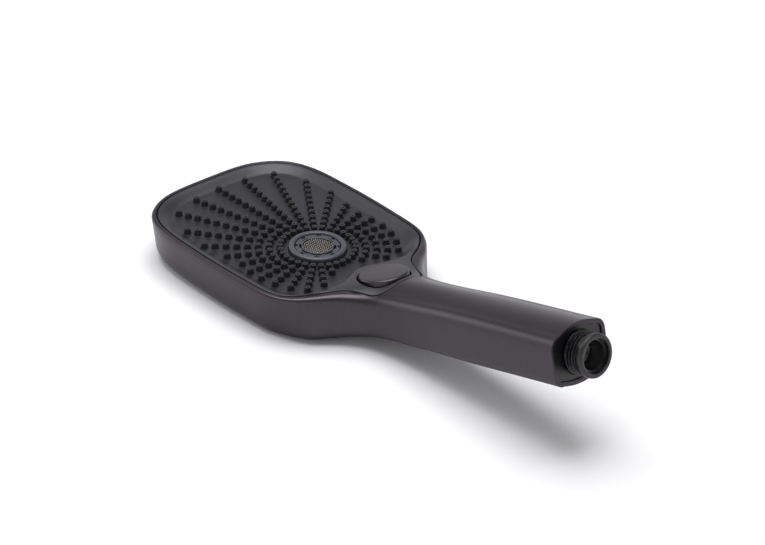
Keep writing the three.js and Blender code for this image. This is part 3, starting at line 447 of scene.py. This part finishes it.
def opening_loop(count):
    """Outline of the opening for the face plate: the rim's inner edge, then the tongue."""
    s, f = shell(), bpy.context.scene.shower_face
    half = housing_half(200)
    normals = inward(mirrored(half))[:len(half)] * (1, -1)
    rim = (half + normals * s.rim)[::8]
    rim = rim[rim[:, 0] < (TONGUE_OUTLINE[0][0] - 4) * MM]
    corner = np.array([[f.tongue_corner_at, f.tongue_corner_half]])
    side = through(np.vstack([rim, np.array(TONGUE_OUTLINE) * MM, corner]), 300)
    end = [(f.tongue_corner_at + f.shoulder_length, f.tongue_corner_half - f.shoulder_drop),
           (f.tongue_end - f.tip_bulge, f.tongue_corner_half / 2), (f.tongue_end, 0)]
    curve = through(np.vstack([side[-1:], end, [(end[1][0], -end[1][1])]]), 60)
    curve = curve[curve[:, 1] >= 0][1:]
    loop = mirrored(np.vstack([side, curve, [(f.tongue_end, 0)]]))
    return evened(loop, count, 5)


def section(along, wall):
    """Cross-section of the paddle at places along it, less a wall."""
    s = shell()
    handle = smoothstep(along, s.neck_start, s.neck_end)
    neck = np.clip((along + s.head_reach) / (s.head_reach + s.neck_start), 0, 1)
    crown = profile(CROWN, along)
    head_corner = mix(s.corner_back, s.neck_corner_back, neck)
    return {
        "crown": crown,
        "top": s.rim_top - crown - wall,
        "back": -s.head_depth - profile(DEPTH_GAIN, along) + BACK_CROWN * crown + wall,
        "corner_top": np.maximum(SMALLEST_CORNER, mix(s.corner_top, s.handle_corner_top, handle) - wall),
        "corner_back": np.maximum(SMALLEST_CORNER, mix(head_corner, s.handle_corner_back, handle) - wall),
        "draft": mix(s.draft, s.neck_draft, neck) * (1 - handle),
    }


def paddle(wall, count):
    """The solid paddle, or its inside when wall is more than nothing."""
    s = shell()
    loop = housing_loop(count)
    along = loop[:, 0]
    end_at = along.max()
    at_end = along > end_at - 0.5 * MM
    normals = inward(loop)
    normals[at_end] = np.stack([np.zeros(at_end.sum()), -np.sign(loop[at_end, 1])], axis=1)
    here = section(along, wall)
    past = at_end * (INSIDE_PAST_END if wall else 0)
    spine = np.clip(along, SPINE_FROM - s.head_reach, end_at) + past

    def ring(move, share, height):
        reach = np.where(at_end, np.minimum(move + wall, np.abs(loop[:, 1])), move + wall)
        edge = loop + normals * reach[:, None]
        return bent(mix(edge[:, 0] + past, spine, share), mix(edge[:, 1], 0, share), height)

    def arch(share):
        return here["crown"] * (1 - (1 - share) ** 2)

    top, low, back = here["corner_top"], here["corner_back"], here["back"]
    shares = (1, 0.85, 0.7, 0.55, 0.4, 0.25, 0.1, 0)
    rings = [ring(top, share, here["top"] + arch(share)) for share in shares]
    for turn in np.radians((15, 30, 45, 60, 75, 90)):
        rings.append(ring(top * (1 - math.sin(turn)), 0, here["top"] - top * (1 - math.cos(turn))))
    wall_top = here["top"] - top
    wall_low = back + low
    for share in (0.25, 0.5, 0.75):
        rings.append(ring(here["draft"] * share, 0, mix(wall_top, wall_low, share)))
    for turn in np.radians((0, 12, 24, 36, 48, 60, 72, 90)):
        rings.append(ring(here["draft"] + low * (1 - math.cos(turn)), 0, back + low * (1 - math.sin(turn))))
    for share in (0.15, 0.4, 0.7, 1):
        rings.append(ring(here["draft"] + low, share, back - BACK_CROWN * arch(share)))
    return skin(rings)


def flush(along, side):
    """Height of the neck's top over the line."""
    s = shell()
    shoulder = half_width_at(along) - section(along, 0)["corner_top"]
    return s.rim_top - profile(CROWN, along) * (side / shoulder) ** 2


def tongue_spine(along):
    """Middle line that the plate's rings close on."""
    s, f = shell(), bpy.context.scene.shower_face
    return np.clip(along, SPINE_FROM - s.head_reach, f.tongue_end - TONGUE_SPINE)


def opening_tool(loop):
    """Cutter of the plate's opening, with a rounded lip that follows the top."""
    lip, above, below = 0.35 * MM, 20 * MM, -14 * MM
    edge = flush(loop[:, 0], loop[:, 1])
    spine = tongue_spine(loop[:, 0])
    rings = []
    for grow, rise, share in ((lip, above, 1), (lip, above, 0), (lip, 0.03 * MM, 0),
                              (lip * 0.3, -lip * 0.3, 0), (0, -lip, 0)):
        wide = inset(loop, -grow)
        rings.append(bent(mix(wide[:, 0], spine, share), mix(wide[:, 1], 0, share), edge + rise))
    for share in (0, 1):
        rings.append(bent(mix(loop[:, 0], spine, share), mix(loop[:, 1], 0, share), below))
    return skin(rings)


def box_mesh(low, high, matrix=None):
    """Block between two corners, in mm."""
    mesh = bmesh.new()
    low, high = Vector(low) * MM, Vector(high) * MM
    place = Matrix.Translation((low + high) / 2) @ Matrix.Diagonal((*(high - low), 1))
    bmesh.ops.create_cube(mesh, size=1, matrix=(matrix or Matrix()) @ place)
    return mesh


def end_tool(along):
    """Block that removes everything past a place along the handle."""
    start, clear = on_handle(along) / MM, PAST_SIDES
    return box_mesh((start, -clear, -clear), (start + clear, clear, clear), handle_matrix())


# ---------------------------------------------------------------- materials


def add(tree, kind, inputs=None, **settings):
    """Adds a shader node; inputs maps a socket to a value or to another node's output."""
    made = tree.nodes.new(kind)
    for name, value in settings.items():
        setattr(made, name, value)
    for socket, value in (inputs or {}).items():
        if isinstance(value, bpy.types.NodeSocket):
            tree.links.new(value, made.inputs[socket])
        else:
            made.inputs[socket].default_value = value
    return made


def finish_of(name, build):
    """The material of that name, made once by build(tree, shader)."""
    known = bpy.data.materials.get(name)
    if known:
        return known
    made = bpy.data.materials.new(name)
    made.use_nodes = True
    tree = made.node_tree
    build(tree, tree.nodes["Principled BSDF"])
    return made


def grain(tree, per_metre, detail=2.0):
    """Noise with so many cells to the metre on each axis; returns its value socket."""
    place = add(tree, "ShaderNodeTexCoord")
    stretched = add(tree, "ShaderNodeMapping", {"Vector": place.outputs["Object"], "Scale": per_metre})
    noise = add(tree, "ShaderNodeTexNoise", {
        "Vector": stretched.outputs["Vector"], "Scale": 1.0, "Detail": detail, "Roughness": 0.55})
    return noise.outputs["Fac"]


def surface(tree, shader, tint, colour, rough, relief=None):
    """Wires up a finish: each of colour, rough and relief is a pattern and what it moves.

    Colour goes between two shares of the tint, rough between two roughnesses, and relief to a height in
    metres. The patterns are noise, so only the middle of their range counts.
    """
    middle = {"From Min": 0.3, "From Max": 0.7}
    pattern, darker, lighter = colour
    share = add(tree, "ShaderNodeMapRange", {"Value": pattern, **middle, "To Min": 0, "To Max": 1})
    shade = add(tree, "ShaderNodeMix", {
        "Factor": share.outputs["Result"],
        "A": (*(c * darker for c in tint), 1), "B": (*(c * lighter for c in tint), 1)},
        data_type="RGBA")
    tree.links.new(shade.outputs["Result"], shader.inputs["Base Color"])
    pattern, low, high = rough
    ranged = add(tree, "ShaderNodeMapRange", {"Value": pattern, **middle, "To Min": low, "To Max": high})
    tree.links.new(ranged.outputs["Result"], shader.inputs["Roughness"])
    if relief:
        pattern, height = relief
        bump = add(tree, "ShaderNodeBump", {"Height": pattern, "Strength": 1.0, "Distance": height})
        tree.links.new(bump.outputs["Normal"], shader.inputs["Normal"])


def brushed_gunmetal():
    """Dark plating brushed round the handle: fine lines, 0.25 mm apart, streak its soft reflections."""
    tint = tuple(bpy.context.scene.shower_finishes.gunmetal)

    def build(tree, shader):
        lines = grain(tree, (4000, 60, 60))
        cloud = grain(tree, (25, 25, 25))
        wear = add(tree, "ShaderNodeMath", {0: lines, 1: cloud}, operation="MULTIPLY_ADD")
        shader.inputs["Metallic"].default_value = 1.0
        surface(tree, shader, tint, (lines, 0.94, 1.07), (wear.outputs[0], 0.3, 0.36), (lines, 0.004 * MM))

    return finish_of("brushed_gunmetal_plating", build)


def satin_moulded(name, tint, rough):
    """Moulded plastic with a fine spark-eroded grain: an even satin with a soft highlight.

    The real grain is finer; cells of 0.5 mm are about the smallest that show.
    """

    def build(tree, shader):
        fine = grain(tree, (2000, 2000, 2000))
        cloud = grain(tree, (40, 40, 40))
        shader.inputs["IOR"].default_value = 1.54
        surface(tree, shader, tint, (cloud, 0.96, 1.04), (fine, rough - 0.03, rough + 0.03),
                (fine, 0.003 * MM))

    return finish_of(name, build)


def face_abs():
    """Near-black ABS of the face plate: dull enough to hide water marks."""
    return satin_moulded("satin_moulded_abs_face", tuple(bpy.context.scene.shower_finishes.plate), 0.42)


def ring_abs():
    """Grey ABS of the centre spray: a shade lighter than the plate, so that its rings stand out."""
    return satin_moulded("satin_moulded_abs_ring", tuple(bpy.context.scene.shower_finishes.ring), 0.38)


def black_abs():
    """Black ABS of the hose end: smoother than the plate, with clear lines on the thread."""
    return satin_moulded("satin_moulded_abs_black", tuple(bpy.context.scene.shower_finishes.black), 0.36)


def natural_acetal():
    """Undyed acetal: milky white, slippery and half matt."""
    return satin_moulded("moulded_natural_acetal", tuple(bpy.context.scene.shower_finishes.natural), 0.45)


def liquid_silicone():
    """Moulded liquid silicone: soft and near matt, with a faint bloom at grazing angles.

    The real texture is finer; cells of 0.4 mm are about the smallest that show.
    """
    tint = tuple(bpy.context.scene.shower_finishes.silicone)

    def build(tree, shader):
        fine = grain(tree, (2500, 2500, 2500))
        shader.inputs["IOR"].default_value = 1.41
        shader.inputs["Sheen Weight"].default_value = 0.08
        shader.inputs["Sheen Roughness"].default_value = 0.5
        surface(tree, shader, tint, (fine, 0.9, 1.12), (fine, 0.42, 0.5), (fine, 0.004 * MM))

    return finish_of("moulded_liquid_silicone", build)


def drawn_wire():
    """Drawn stainless wire: dull grey with small bright flecks."""
    tint = tuple(bpy.context.scene.shower_finishes.wire)

    def build(tree, shader):
        fine = grain(tree, (3000, 3000, 3000))
        shader.inputs["Metallic"].default_value = 1.0
        surface(tree, shader, tint, (fine, 0.85, 1.1), (fine, 0.28, 0.4))

    return finish_of("drawn_stainless_wire", build)


def turned_steel():
    """Bright machined steel: faint tool marks, 0.25 mm apart."""
    tint = tuple(bpy.context.scene.shower_finishes.steel)

    def build(tree, shader):
        marks = grain(tree, (600, 600, 4000))
        shader.inputs["Metallic"].default_value = 1.0
        surface(tree, shader, tint, (marks, 0.92, 1.05), (marks, 0.22, 0.3), (marks, 0.002 * MM))

    return finish_of("machined_bright_steel", build)


def seal_rubber():
    """Moulded EPDM seal rubber: matt black with a dry, slightly uneven surface."""
    tint = tuple(bpy.context.scene.shower_finishes.rubber)

    def build(tree, shader):
        fine = grain(tree, (1800, 1800, 1800), 3.0)
        shader.inputs["IOR"].default_value = 1.5
        surface(tree, shader, tint, (fine, 0.85, 1.15), (fine, 0.65, 0.8), (fine, 0.01 * MM))

    return finish_of("moulded_epdm_rubber", build)


# ---------------------------------------------------------------- placing pieces


def keep(mesh, name, material, body, nodes, matrix=None, angle=32):
    """Makes a piece from a mesh in the face frame, puts it on a body and lets it stand for CAD nodes."""
    origin = Matrix.Translation(Vector(face_origin()))
    bmesh.ops.transform(mesh, matrix=origin @ (matrix or Matrix()), verts=mesh.verts)
    piece = object_from(mesh, name)
    piece.data.materials.append(material)
    for face in piece.data.polygons:
        face.use_smooth = True
    piece.data.set_sharp_from_angle(angle=math.radians(angle))
    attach(piece, body)
    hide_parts(*nodes)


def paint_node(node, material):
    """Gives a CAD node a finish."""
    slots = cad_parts[node].data.materials
    slots.clear()
    slots.append(material)


# ---------------------------------------------------------------- operators


class SHOWER_OT_shell(bpy.types.Operator):
    """Housing: one plated shell for head and handle, open under the face plate and at the hose end"""

    bl_idname = "shower.shell"
    bl_label = "Build Housing"

    def execute(self, context):
        s = shell()
        mesh = cut(paddle(0, 460), end_tool(s.end), paddle(s.wall, 300), opening_tool(opening_loop(420)))
        end = handle_matrix() @ Vector((on_handle(s.end), 0, 0))
        axis = handle_matrix().to_3x3() @ Vector((1, 0, 0))

        def at_end(part):
            return all(abs((v.co - end).dot(axis)) < 0.01 * MM for v in part.verts)

        bmesh.ops.triangulate(mesh, faces=[face for face in mesh.faces if at_end(face)])
        soften(mesh, lambda edge: sharp(edge) and at_end(edge), s.end_chamfer)
        keep(mesh, "housing_skin", brushed_gunmetal(), "root", ["housing"])
        return {"FINISHED"}


class SHOWER_OT_face_plate(bpy.types.Operator):
    """Face plate: a dish round the nozzles and a tongue that folds up round the button"""

    bl_idname = "shower.face_plate"
    bl_label = "Build Face Plate"

    def height(self, along, side, from_edge):
        """Height of the plate's face over the line."""
        s, f = shell(), bpy.context.scene.shower_face
        dish = mix(s.rim_top, f.dish_floor, smoothstep(from_edge, 0, f.dish_blend))
        crease = f.crease_at + f.crease_bow * (1 - np.exp(-((side / f.crease_spread) ** 2)))
        return mix(dish, flush(along, side), smoothstep(along, crease, crease + f.crease_width))

    def execute(self, context):
        f = context.scene.shower_face
        loop = inset(opening_loop(420), f.gap)
        normals = inward(loop)
        spine = tongue_spine(loop[:, 0])

        def ring(move, share, drop):
            edge = loop + normals * move
            along, side = mix(edge[:, 0], spine, share), mix(edge[:, 1], 0, share)
            from_edge = f.dish_blend if share else move
            return bent(along, side, self.height(along, side, from_edge) - drop)

        lip = 0.3 * MM
        rings = [ring(f.dish_blend, share, 0) for share in np.linspace(1, 0, 27)]
        slope = (7.3, 6.6, 5.9, 5.2, 4.5, 3.8, 3.1, 2.4, 1.7, 1.1, 0.6)
        rings += [ring(move * MM, 0, 0) for move in slope]
        rings += [ring(lip, 0, 0), ring(lip * 0.3, 0, lip * 0.3), ring(0, 0, lip)]
        rings += [ring(0, 0, f.thickness)]
        rings += [ring(move * MM, 0, f.thickness) for move in (2, 4, 6)]
        rings += [ring(f.dish_blend, share, f.thickness) for share in np.linspace(0, 1, 9)]
        clear = context.scene.shower_spray.ring_outer / MM + 0.25
        hole = turned([(0, -12), (clear, -12), (clear, 6), (0, 6)], 128)
        opening = button_tool(context.scene.shower_button.gap)
        mesh = cut(skin(rings), hole, opening)
        keep(mesh, "face_plate_skin", face_abs(), "root", ["face_plate"], angle=40)
        return {"FINISHED"}


class SHOWER_OT_nozzles(bpy.types.Operator):
    """Nozzle mat: a silicone sheet with one tapered, drilled nozzle for each hole of the plate"""

    bl_idname = "shower.nozzles"
    bl_label = "Build Nozzle Mat"

    def nozzle(self, scale):
        """Outline of one nozzle as (radius, z) rows in mm: foot, cone, flat tip and drilled hole."""
        face = bpy.context.scene.shower_face
        wide = face.nozzle_radius / MM * scale
        tip = face.tip_radius / MM
        return [
            (0, -4.9), (wide + 0.1, -4.9), (wide + 0.1, -2.75), (wide, -2.5), (tip + 0.04, -0.3),
            (tip, -0.12), (tip - 0.06, -0.03), (tip - 0.15, 0),
            (0.5, 0), (0.42, -0.08), (0.4, -0.9), (0, -0.9),
        ]

    def execute(self, context):
        f = context.scene.shower_face
        parts = []
        for spoke in range(f.spokes):
            angle = spoke / f.spokes * 2 * math.pi
            for row in range(NOZZLE_ROWS[min(spoke, f.spokes - spoke)]):
                radius = f.first_radius + f.pitch * row
                cone = turned(self.nozzle(1 if row else INNER_NOZZLE), 20)
                place = Vector((radius * math.cos(angle), radius * math.sin(angle), 0))
                bmesh.ops.translate(cone, verts=cone.verts, vec=place)
                parts.append(cone)
        loop = inset(inset(opening_loop(160), f.gap), f.mat_margin)
        loop[:, 0] = np.minimum(loop[:, 0], f.mat_end)
        spine = np.clip(loop[:, 0], SPINE_FROM - shell().head_reach, f.crease_at)
        rings = [vector(mix(loop[:, 0], spine, share), mix(loop[:, 1], 0, share), z * MM)
                 for z, share in ((-4.8, 1), (-4.8, 0), (-6.3, 0), (-6.3, 1))]
        parts.append(skin(rings))
        keep(joined(*parts), "nozzle_mat_skin", liquid_silicone(), "root", ["nozzle_mat"])
        return {"FINISHED"}


class SHOWER_OT_centre_spray(bpy.types.Operator):
    """Centre spray: bezel ring, notched ring, thin retainer and a woven wire mesh"""

    bl_idname = "shower.centre_spray"
    bl_label = "Build Centre Spray"

    def bezel(self, sizes):
        """Outer ring with a rounded shoulder and a softened inner edge."""
        out, inn = sizes.ring_outer / MM, sizes.ring_inner / MM
        return closed_turn([
            (inn, -4.1), (out, -4.1), (out, -0.75), (out - 0.12, -0.3), (out - 0.45, 0.08),
            (out - 0.95, 0.27), (out - 1.3, RING_TOP), (inn + 0.75, RING_TOP), (inn + 0.5, 0.22),
            (inn + 0.2, -0.05), (inn, -0.4),
        ], 128)

    def notched(self, sizes):
        """Ring with eight notches in its outer edge and eight lugs that reach in to the retainer."""
        out, inn = sizes.jet_outer / MM, sizes.jet_inner / MM
        ring = closed_turn([
            (inn, -3.9), (out, -3.9), (out, -0.75), (out - 0.2, -0.55), (inn + 0.2, -0.55), (inn, -0.75),
        ], 128)
        notches, lugs = [], []
        lug_start = sizes.retainer_outer / MM + 0.1
        for i in range(8):
            at_notch = Matrix.Rotation(math.radians(45 * i + 2), 4, "Z")
            notches.append(box_mesh((out - 1.35, -1.15, -1.5), (out + 0.2, 1.15, 0.5), at_notch))
            at_lug = Matrix.Rotation(math.radians(45 * i + 24), 4, "Z")
            lugs.append(box_mesh((lug_start, -1.6, -2.6), (inn + 0.5, 1.6, -0.7), at_lug))
        notched = cut(ring, *notches)
        soften(notched, sharp, 0.1 * MM, 2)
        for lug in lugs:
            soften(lug, sharp, 0.12 * MM, 2)
        return joined(notched, *lugs)

    def retainer(self, sizes):
        """Thin ring with a step inside that the wire mesh lies on."""
        out, inn = sizes.retainer_outer / MM, sizes.retainer_inner / MM
        return closed_turn([
            (inn - 1, -4.4), (out, -4.4), (out, -0.3), (out - 0.12, -0.1), (out - 0.3, -0.02),
            (inn + 0.25, -0.02), (inn + 0.06, -0.12), (inn, -0.4), (inn, -1.4), (inn - 1, -1.4),
        ], 128)

    def woven(self, sizes):
        """Two crossing sets of wires that wave over and under each other."""
        radius = sizes.retainer_inner - 0.05 * MM
        pitch, wire = sizes.mesh_pitch, sizes.mesh_wire
        slant = math.radians(-32)  # of the weave to the handle
        around = np.linspace(0, 2 * math.pi, 8, endpoint=False)
        count = int(radius / pitch)
        wires = []
        for direction in (0, 1):
            for n in range(-count, count + 1):
                offset = n * pitch
                half = math.sqrt(max(radius ** 2 - offset ** 2, 0))
                if half < pitch:
                    continue
                steps = max(8, int(2 * half / pitch * 8))
                run = np.linspace(-half, half, steps + 1)
                side = 1 if (n + direction) % 2 else -1
                lift = side * wire * np.cos(run / pitch * math.pi)
                rings = [vector(at, offset + wire * np.cos(around), up + wire * np.sin(around))
                         for at, up in zip(run, lift)]
                first, last = (vector(run[e], offset, lift[e] + 0 * around) for e in (0, -1))
                mesh = skin([first, *rings, last])
                matrix = Matrix.Rotation(slant + direction * math.pi / 2, 4, "Z")
                bmesh.ops.transform(mesh, matrix=matrix, verts=mesh.verts)
                wires.append(mesh)
        mesh = joined(*wires)
        bmesh.ops.translate(mesh, verts=mesh.verts, vec=(0, 0, -sizes.mesh_depth))
        return mesh

    def execute(self, context):
        sizes = context.scene.shower_spray
        ring, wire = ring_abs(), drawn_wire()
        keep(self.bezel(sizes), "spray_ring_skin", ring, "root", ["spray_ring"])
        keep(self.notched(sizes), "jet_ring_skin", ring, "root", ["jet_ring"])
        keep(self.retainer(sizes), "mesh_retainer_skin", ring, "root", ["mesh_retainer"])
        keep(self.woven(sizes), "mesh_screen_weave", wire, "root", ["mesh_screen"], angle=80)
        return {"FINISHED"}


def button_ring(grow, z, share=1):
    """The button's outline, grown by a distance and shrunk to a share, at a height; all in mm."""
    sizes = bpy.context.scene.shower_button
    angles = np.linspace(0, 2 * math.pi, BUTTON_STEPS, endpoint=False)

    def bulge(value):
        return np.sign(value) * np.abs(value) ** (2 / BUTTON_POWER)

    along = (sizes.half_length + grow * MM) * bulge(np.cos(angles))
    side = (sizes.half_width + grow * MM) * bulge(np.sin(angles))
    return vector(along * share, side * share, z * MM)


def button_matrix():
    """From the button's axes (z out of its top) to the face frame."""
    return handle_matrix() @ Matrix.Translation((bpy.context.scene.shower_button.along, 0, 0))


def button_tool(gap):
    """Cutter of the button's opening in the plate."""
    grow, above, below = gap / MM, 12, -14
    levels = ((above, 0), (above, 1), (below, 1), (below, 0))
    mesh = skin([button_ring(grow, z, share) for z, share in levels])
    bmesh.ops.transform(mesh, matrix=button_matrix(), verts=mesh.verts)
    return mesh


class SHOWER_OT_button(bpy.types.Operator):
    """Button cap: a brushed, nearly round key with a bright chamfer"""

    bl_idname = "shower.button"
    bl_label = "Build Button"

    def execute(self, context):
        sizes = context.scene.shower_button
        top = sizes.proud / MM
        low = top - sizes.thickness / MM
        dome = 0.25
        rings = [button_ring(-0.9, top - dome * share ** 2, share) for share in (0, 0.25, 0.5, 0.75)]
        edge = ((-0.9, top - dome), (-0.7, top - 0.28), (-0.52, top - 0.36), (-0.12, top - 0.78),
                (-0.02, top - 0.98), (0, top - 1.2), (0, low + 0.2), (-0.2, low))
        rings += [button_ring(grow, z) for grow, z in edge]
        rings.append(button_ring(0, low, 0))
        keep(skin(rings), "button_cap_skin", brushed_gunmetal(), "button", ["button_cap"],
             matrix=button_matrix())
        return {"FINISHED"}


class SHOWER_OT_hose_end(bpy.types.Operator):
    """Hose end: black end cap, and a threaded nipple with a plain leading ring"""

    bl_idname = "shower.hose_end"
    bl_label = "Build Hose End"

    def cap(self, s, h):
        """A slice of the housing's inside, a little smaller, with a round hole for the nipple."""
        fit = 0.25
        face = s.end - h.recess
        back = on_handle(face - h.cap_thickness) / MM
        near, far = (-PAST_HEAD, -PAST_SIDES, -PAST_BACK), (back, PAST_SIDES, PAST_SIDES)
        behind = box_mesh(near, far, handle_matrix())
        radius = h.thread_radius / MM + fit
        hole = turned([(0, -20), (radius, -20), (radius, 20), (0, 20)])
        turn = Matrix.Translation((on_handle(face), 0, -s.axis_below)) @ Matrix.Rotation(math.pi / 2, 4, "Y")
        bmesh.ops.transform(hole, matrix=handle_matrix() @ turn, verts=hole.verts)
        return cut(paddle(s.wall + fit * MM, 300), end_tool(face), behind, hole)

    def nipple(self, s, h):
        """Rings along the nipple's axis, with z = 0 at its tip."""
        radius, root, pitch = h.thread_radius / MM, h.thread_root / MM, h.thread_pitch / MM
        mouth, depth, bore = h.mouth / MM, h.mouth_depth / MM, h.bore / MM
        reach, plain, inside = h.reach / MM, h.plain_end / MM, 15
        angles = np.linspace(0, 2 * math.pi, 120, endpoint=False)

        def ring(r, z):
            return vector(r * MM * np.cos(angles), r * MM * np.sin(angles), z * MM)

        def thread(z):
            """Radius of the thread at a place, with its start and end fading out."""
            turn = (z / pitch + angles / (2 * math.pi)) % 1
            ridge = np.clip(1.35 - np.abs(turn - 0.5) * 4, 0, 1)
            fade = smoothstep(-z, plain + 0.5, plain + 1.2) * smoothstep(z, -reach - 0.2, -reach + 0.9)
            return root + (radius - root) * ridge * fade

        hollow = [(bore, -inside), (bore, -depth - 0.1), (bore + 0.1, -depth), (mouth - 0.1, -depth),
                  (mouth, -depth + 0.1), (mouth, -0.35), (mouth + 0.1, -0.1), (mouth + 0.3, 0)]
        leading = [(radius - 0.75, 0), (radius - 0.3, -0.12), (radius - 0.08, -0.35), (radius, -0.7),
                   (radius, -plain + 0.35), (radius - 0.1, -plain + 0.1), (radius - 0.35, -plain)]
        threaded = [(thread(z), z) for z in np.linspace(-plain - 0.12, -reach, 76)]
        flange, flange_radius, flange_depth = -reach - h.cap_thickness / MM - 0.3, 11.6, 2.4
        spigot_radius, end = 8.9, flange - 9
        behind = [(root, flange), (flange_radius, flange), (flange_radius, flange - flange_depth),
                  (spigot_radius, flange - flange_depth), (spigot_radius, end), (bore - 1, end),
                  (bore - 1, -inside), (bore, -inside)]
        return skin([ring(r, z) for r, z in (*hollow, *leading, *threaded, *behind)])

    def execute(self, context):
        s, h = shell(), context.scene.shower_hose
        keep(self.cap(s, h), "end_cap_skin", black_abs(), "root", ["end_cap"])
        tip = on_handle(s.end - h.recess) + h.reach
        place = Matrix.Translation((tip, 0, -s.axis_below)) @ Matrix.Rotation(math.pi / 2, 4, "Y")
        keep(self.nipple(s, h), "hose_connector_skin", black_abs(), "root", ["hose_connector"],
             matrix=handle_matrix() @ place)
        return {"FINISHED"}


class SHOWER_OT_inner_parts(bpy.types.Operator):
    """Inner parts: finishes for the pieces that keep their CAD shape"""

    bl_idname = "shower.inner_parts"
    bl_label = "Finish Inner Parts"

    def execute(self, context):
        screws = [f"chamber_screw_{i}" for i in range(1, 7)]
        finishes = {
            natural_acetal: ["aerator_body", "button_carrier", "ratchet_driver", "valve_rotor", "water_tube",
                             "flow_regulator"],
            black_abs: ["spray_plate", "water_chamber", "jet_tube", "rain_duct", "jet_duct", "spring_guide",
                        "cartridge_body"],
            seal_rubber: ["chamber_gasket", "stem_seal", "valve_seat", "tube_seal_front", "tube_seal_rear"],
            turned_steel: ["return_spring", "valve_disc", "strainer_ring", *screws],
        }
        for finish, nodes in finishes.items():
            for node in nodes:
                paint_node(node, finish())
        return {"FINISHED"}


class SHOWER_OT_stage(bpy.types.Operator):
    """Stage: pale floor, soft studio lights and the camera"""

    bl_idname = "shower.stage"
    bl_label = "Build Stage"

    def floor(self, context):
        mesh = bmesh.new()
        bmesh.ops.create_grid(mesh, x_segments=2, y_segments=2, size=3)
        bmesh.ops.translate(mesh, verts=mesh.verts, vec=(0, 0, -0.02 * MM))
        made = object_from(mesh, "studio_floor")

        def build(tree, shader):
            """Matt paper: even, with hardly a reflection."""
            fine = grain(tree, (300, 300, 300))
            shader.inputs["Specular IOR Level"].default_value = 0.2
            tint = tuple(context.scene.shower_finishes.floor)
            surface(tree, shader, tint, (fine, 0.995, 1.0), (fine, 0.85, 0.9))

        made.data.materials.append(finish_of("matt_paper_floor", build))

    def lamp(self, name, power, size, place, target):
        """Soft rectangular light at a place, aimed at a target, in metres and watts."""
        light = bpy.data.lights.new(name, "AREA")
        light.shape = "RECTANGLE"
        light.size, light.size_y = size
        light.energy = power
        made = bpy.data.objects.new(name, light)
        made.location = place
        made.rotation_euler = (Vector(target) - Vector(place)).to_track_quat("-Z", "Y").to_euler()
        bpy.context.scene.collection.objects.link(made)

    def world(self, context):
        """Studio wall: bright paper near the floor that falls off to a dim room above."""
        world = bpy.data.worlds.new("studio")
        world.use_nodes = True
        tree = world.node_tree
        place = add(tree, "ShaderNodeTexCoord")
        parts = add(tree, "ShaderNodeSeparateXYZ", {"Vector": place.outputs["Generated"]})
        level = add(tree, "ShaderNodeMapRange", {
            "Value": parts.outputs["Z"], "From Min": 0.1, "From Max": 0.6, "To Min": 0.95, "To Max": 0.35},
            interpolation_type="SMOOTHSTEP")
        sky = tree.nodes["Background"]
        sky.inputs["Color"].default_value = (1, 1, 1, 1)
        tree.links.new(level.outputs["Result"], sky.inputs["Strength"])
        context.scene.world = world

    def camera(self, context):
        """Long lens above the spray face, held a little out of level."""
        azimuth, elevation, roll = math.radians(46.55), math.radians(31.11), math.radians(1.96)
        distance = 1195.3 * MM
        aim = Vector(face_origin()) + Vector((40.7, 7.0, 0)) * MM
        back = Vector((math.sin(azimuth) * math.cos(elevation), -math.cos(azimuth) * math.cos(elevation),
                       math.sin(elevation)))
        data = bpy.data.cameras.new("camera")
        data.lens = 113.7
        data.sensor_width = 36
        made = bpy.data.objects.new("camera", data)
        turn = back.to_track_quat("Z", "Y").to_matrix().to_4x4() @ Matrix.Rotation(roll, 4, "Z")
        made.matrix_world = Matrix.Translation(aim + back * distance) @ turn
        context.scene.collection.objects.link(made)
        context.scene.camera = made

    def execute(self, context):
        self.floor(context)
        self.camera(context)
        self.world(context)
        self.lamp("overhead", 27, (1.3, 1.3), (-0.25, 0.1, 1.6), (0, 0, 0))
        self.lamp("side", 3, (0.5, 1.0), (-1.1, -0.5, 0.5), (0, 0, 0.02))
        context.scene.view_settings.view_transform = "Standard"
        return {"FINISHED"}


class SHOWER_PT_panel(bpy.types.Panel):
    """Lists the steps that build the shower head"""

    bl_label = "Shower Head"
    bl_idname = "SHOWER_PT_panel"
    bl_space_type = "VIEW_3D"
    bl_region_type = "UI"
    bl_category = "Shower Head"

    def draw(self, context):
        for step in STEPS:
            self.layout.operator(step.bl_idname)
        for group in GROUPS:
            box = self.layout.box()
            settings = getattr(context.scene, group)
            for name in settings.bl_rna.properties.keys():
                if name not in ("rna_type", "name"):
                    box.prop(settings, name)


STEPS = (
    SHOWER_OT_stage, SHOWER_OT_shell, SHOWER_OT_face_plate, SHOWER_OT_nozzles, SHOWER_OT_centre_spray,
    SHOWER_OT_button, SHOWER_OT_hose_end, SHOWER_OT_inner_parts,
)
GROUPS = {
    "shower_shell": ShellSizes, "shower_face": FaceSizes, "shower_spray": SpraySizes,
    "shower_button": ButtonSizes, "shower_hose": HoseSizes, "shower_finishes": Finishes,
}


def register():
    for group in GROUPS.values():
        bpy.utils.register_class(group)
    for name, group in GROUPS.items():
        setattr(bpy.types.Scene, name, PointerProperty(type=group))
    for kind in (*STEPS, SHOWER_PT_panel):
        bpy.utils.register_class(kind)


def unregister():
    for kind in reversed((*STEPS, SHOWER_PT_panel)):
        bpy.utils.unregister_class(kind)
    for name, group in GROUPS.items():
        delattr(bpy.types.Scene, name)
        bpy.utils.unregister_class(group)


def main():
    register()
    for step in STEPS:
        group, name = step.bl_idname.split(".")
        getattr(getattr(bpy.ops, group), name)()


if __name__ == "__main__":
    main()
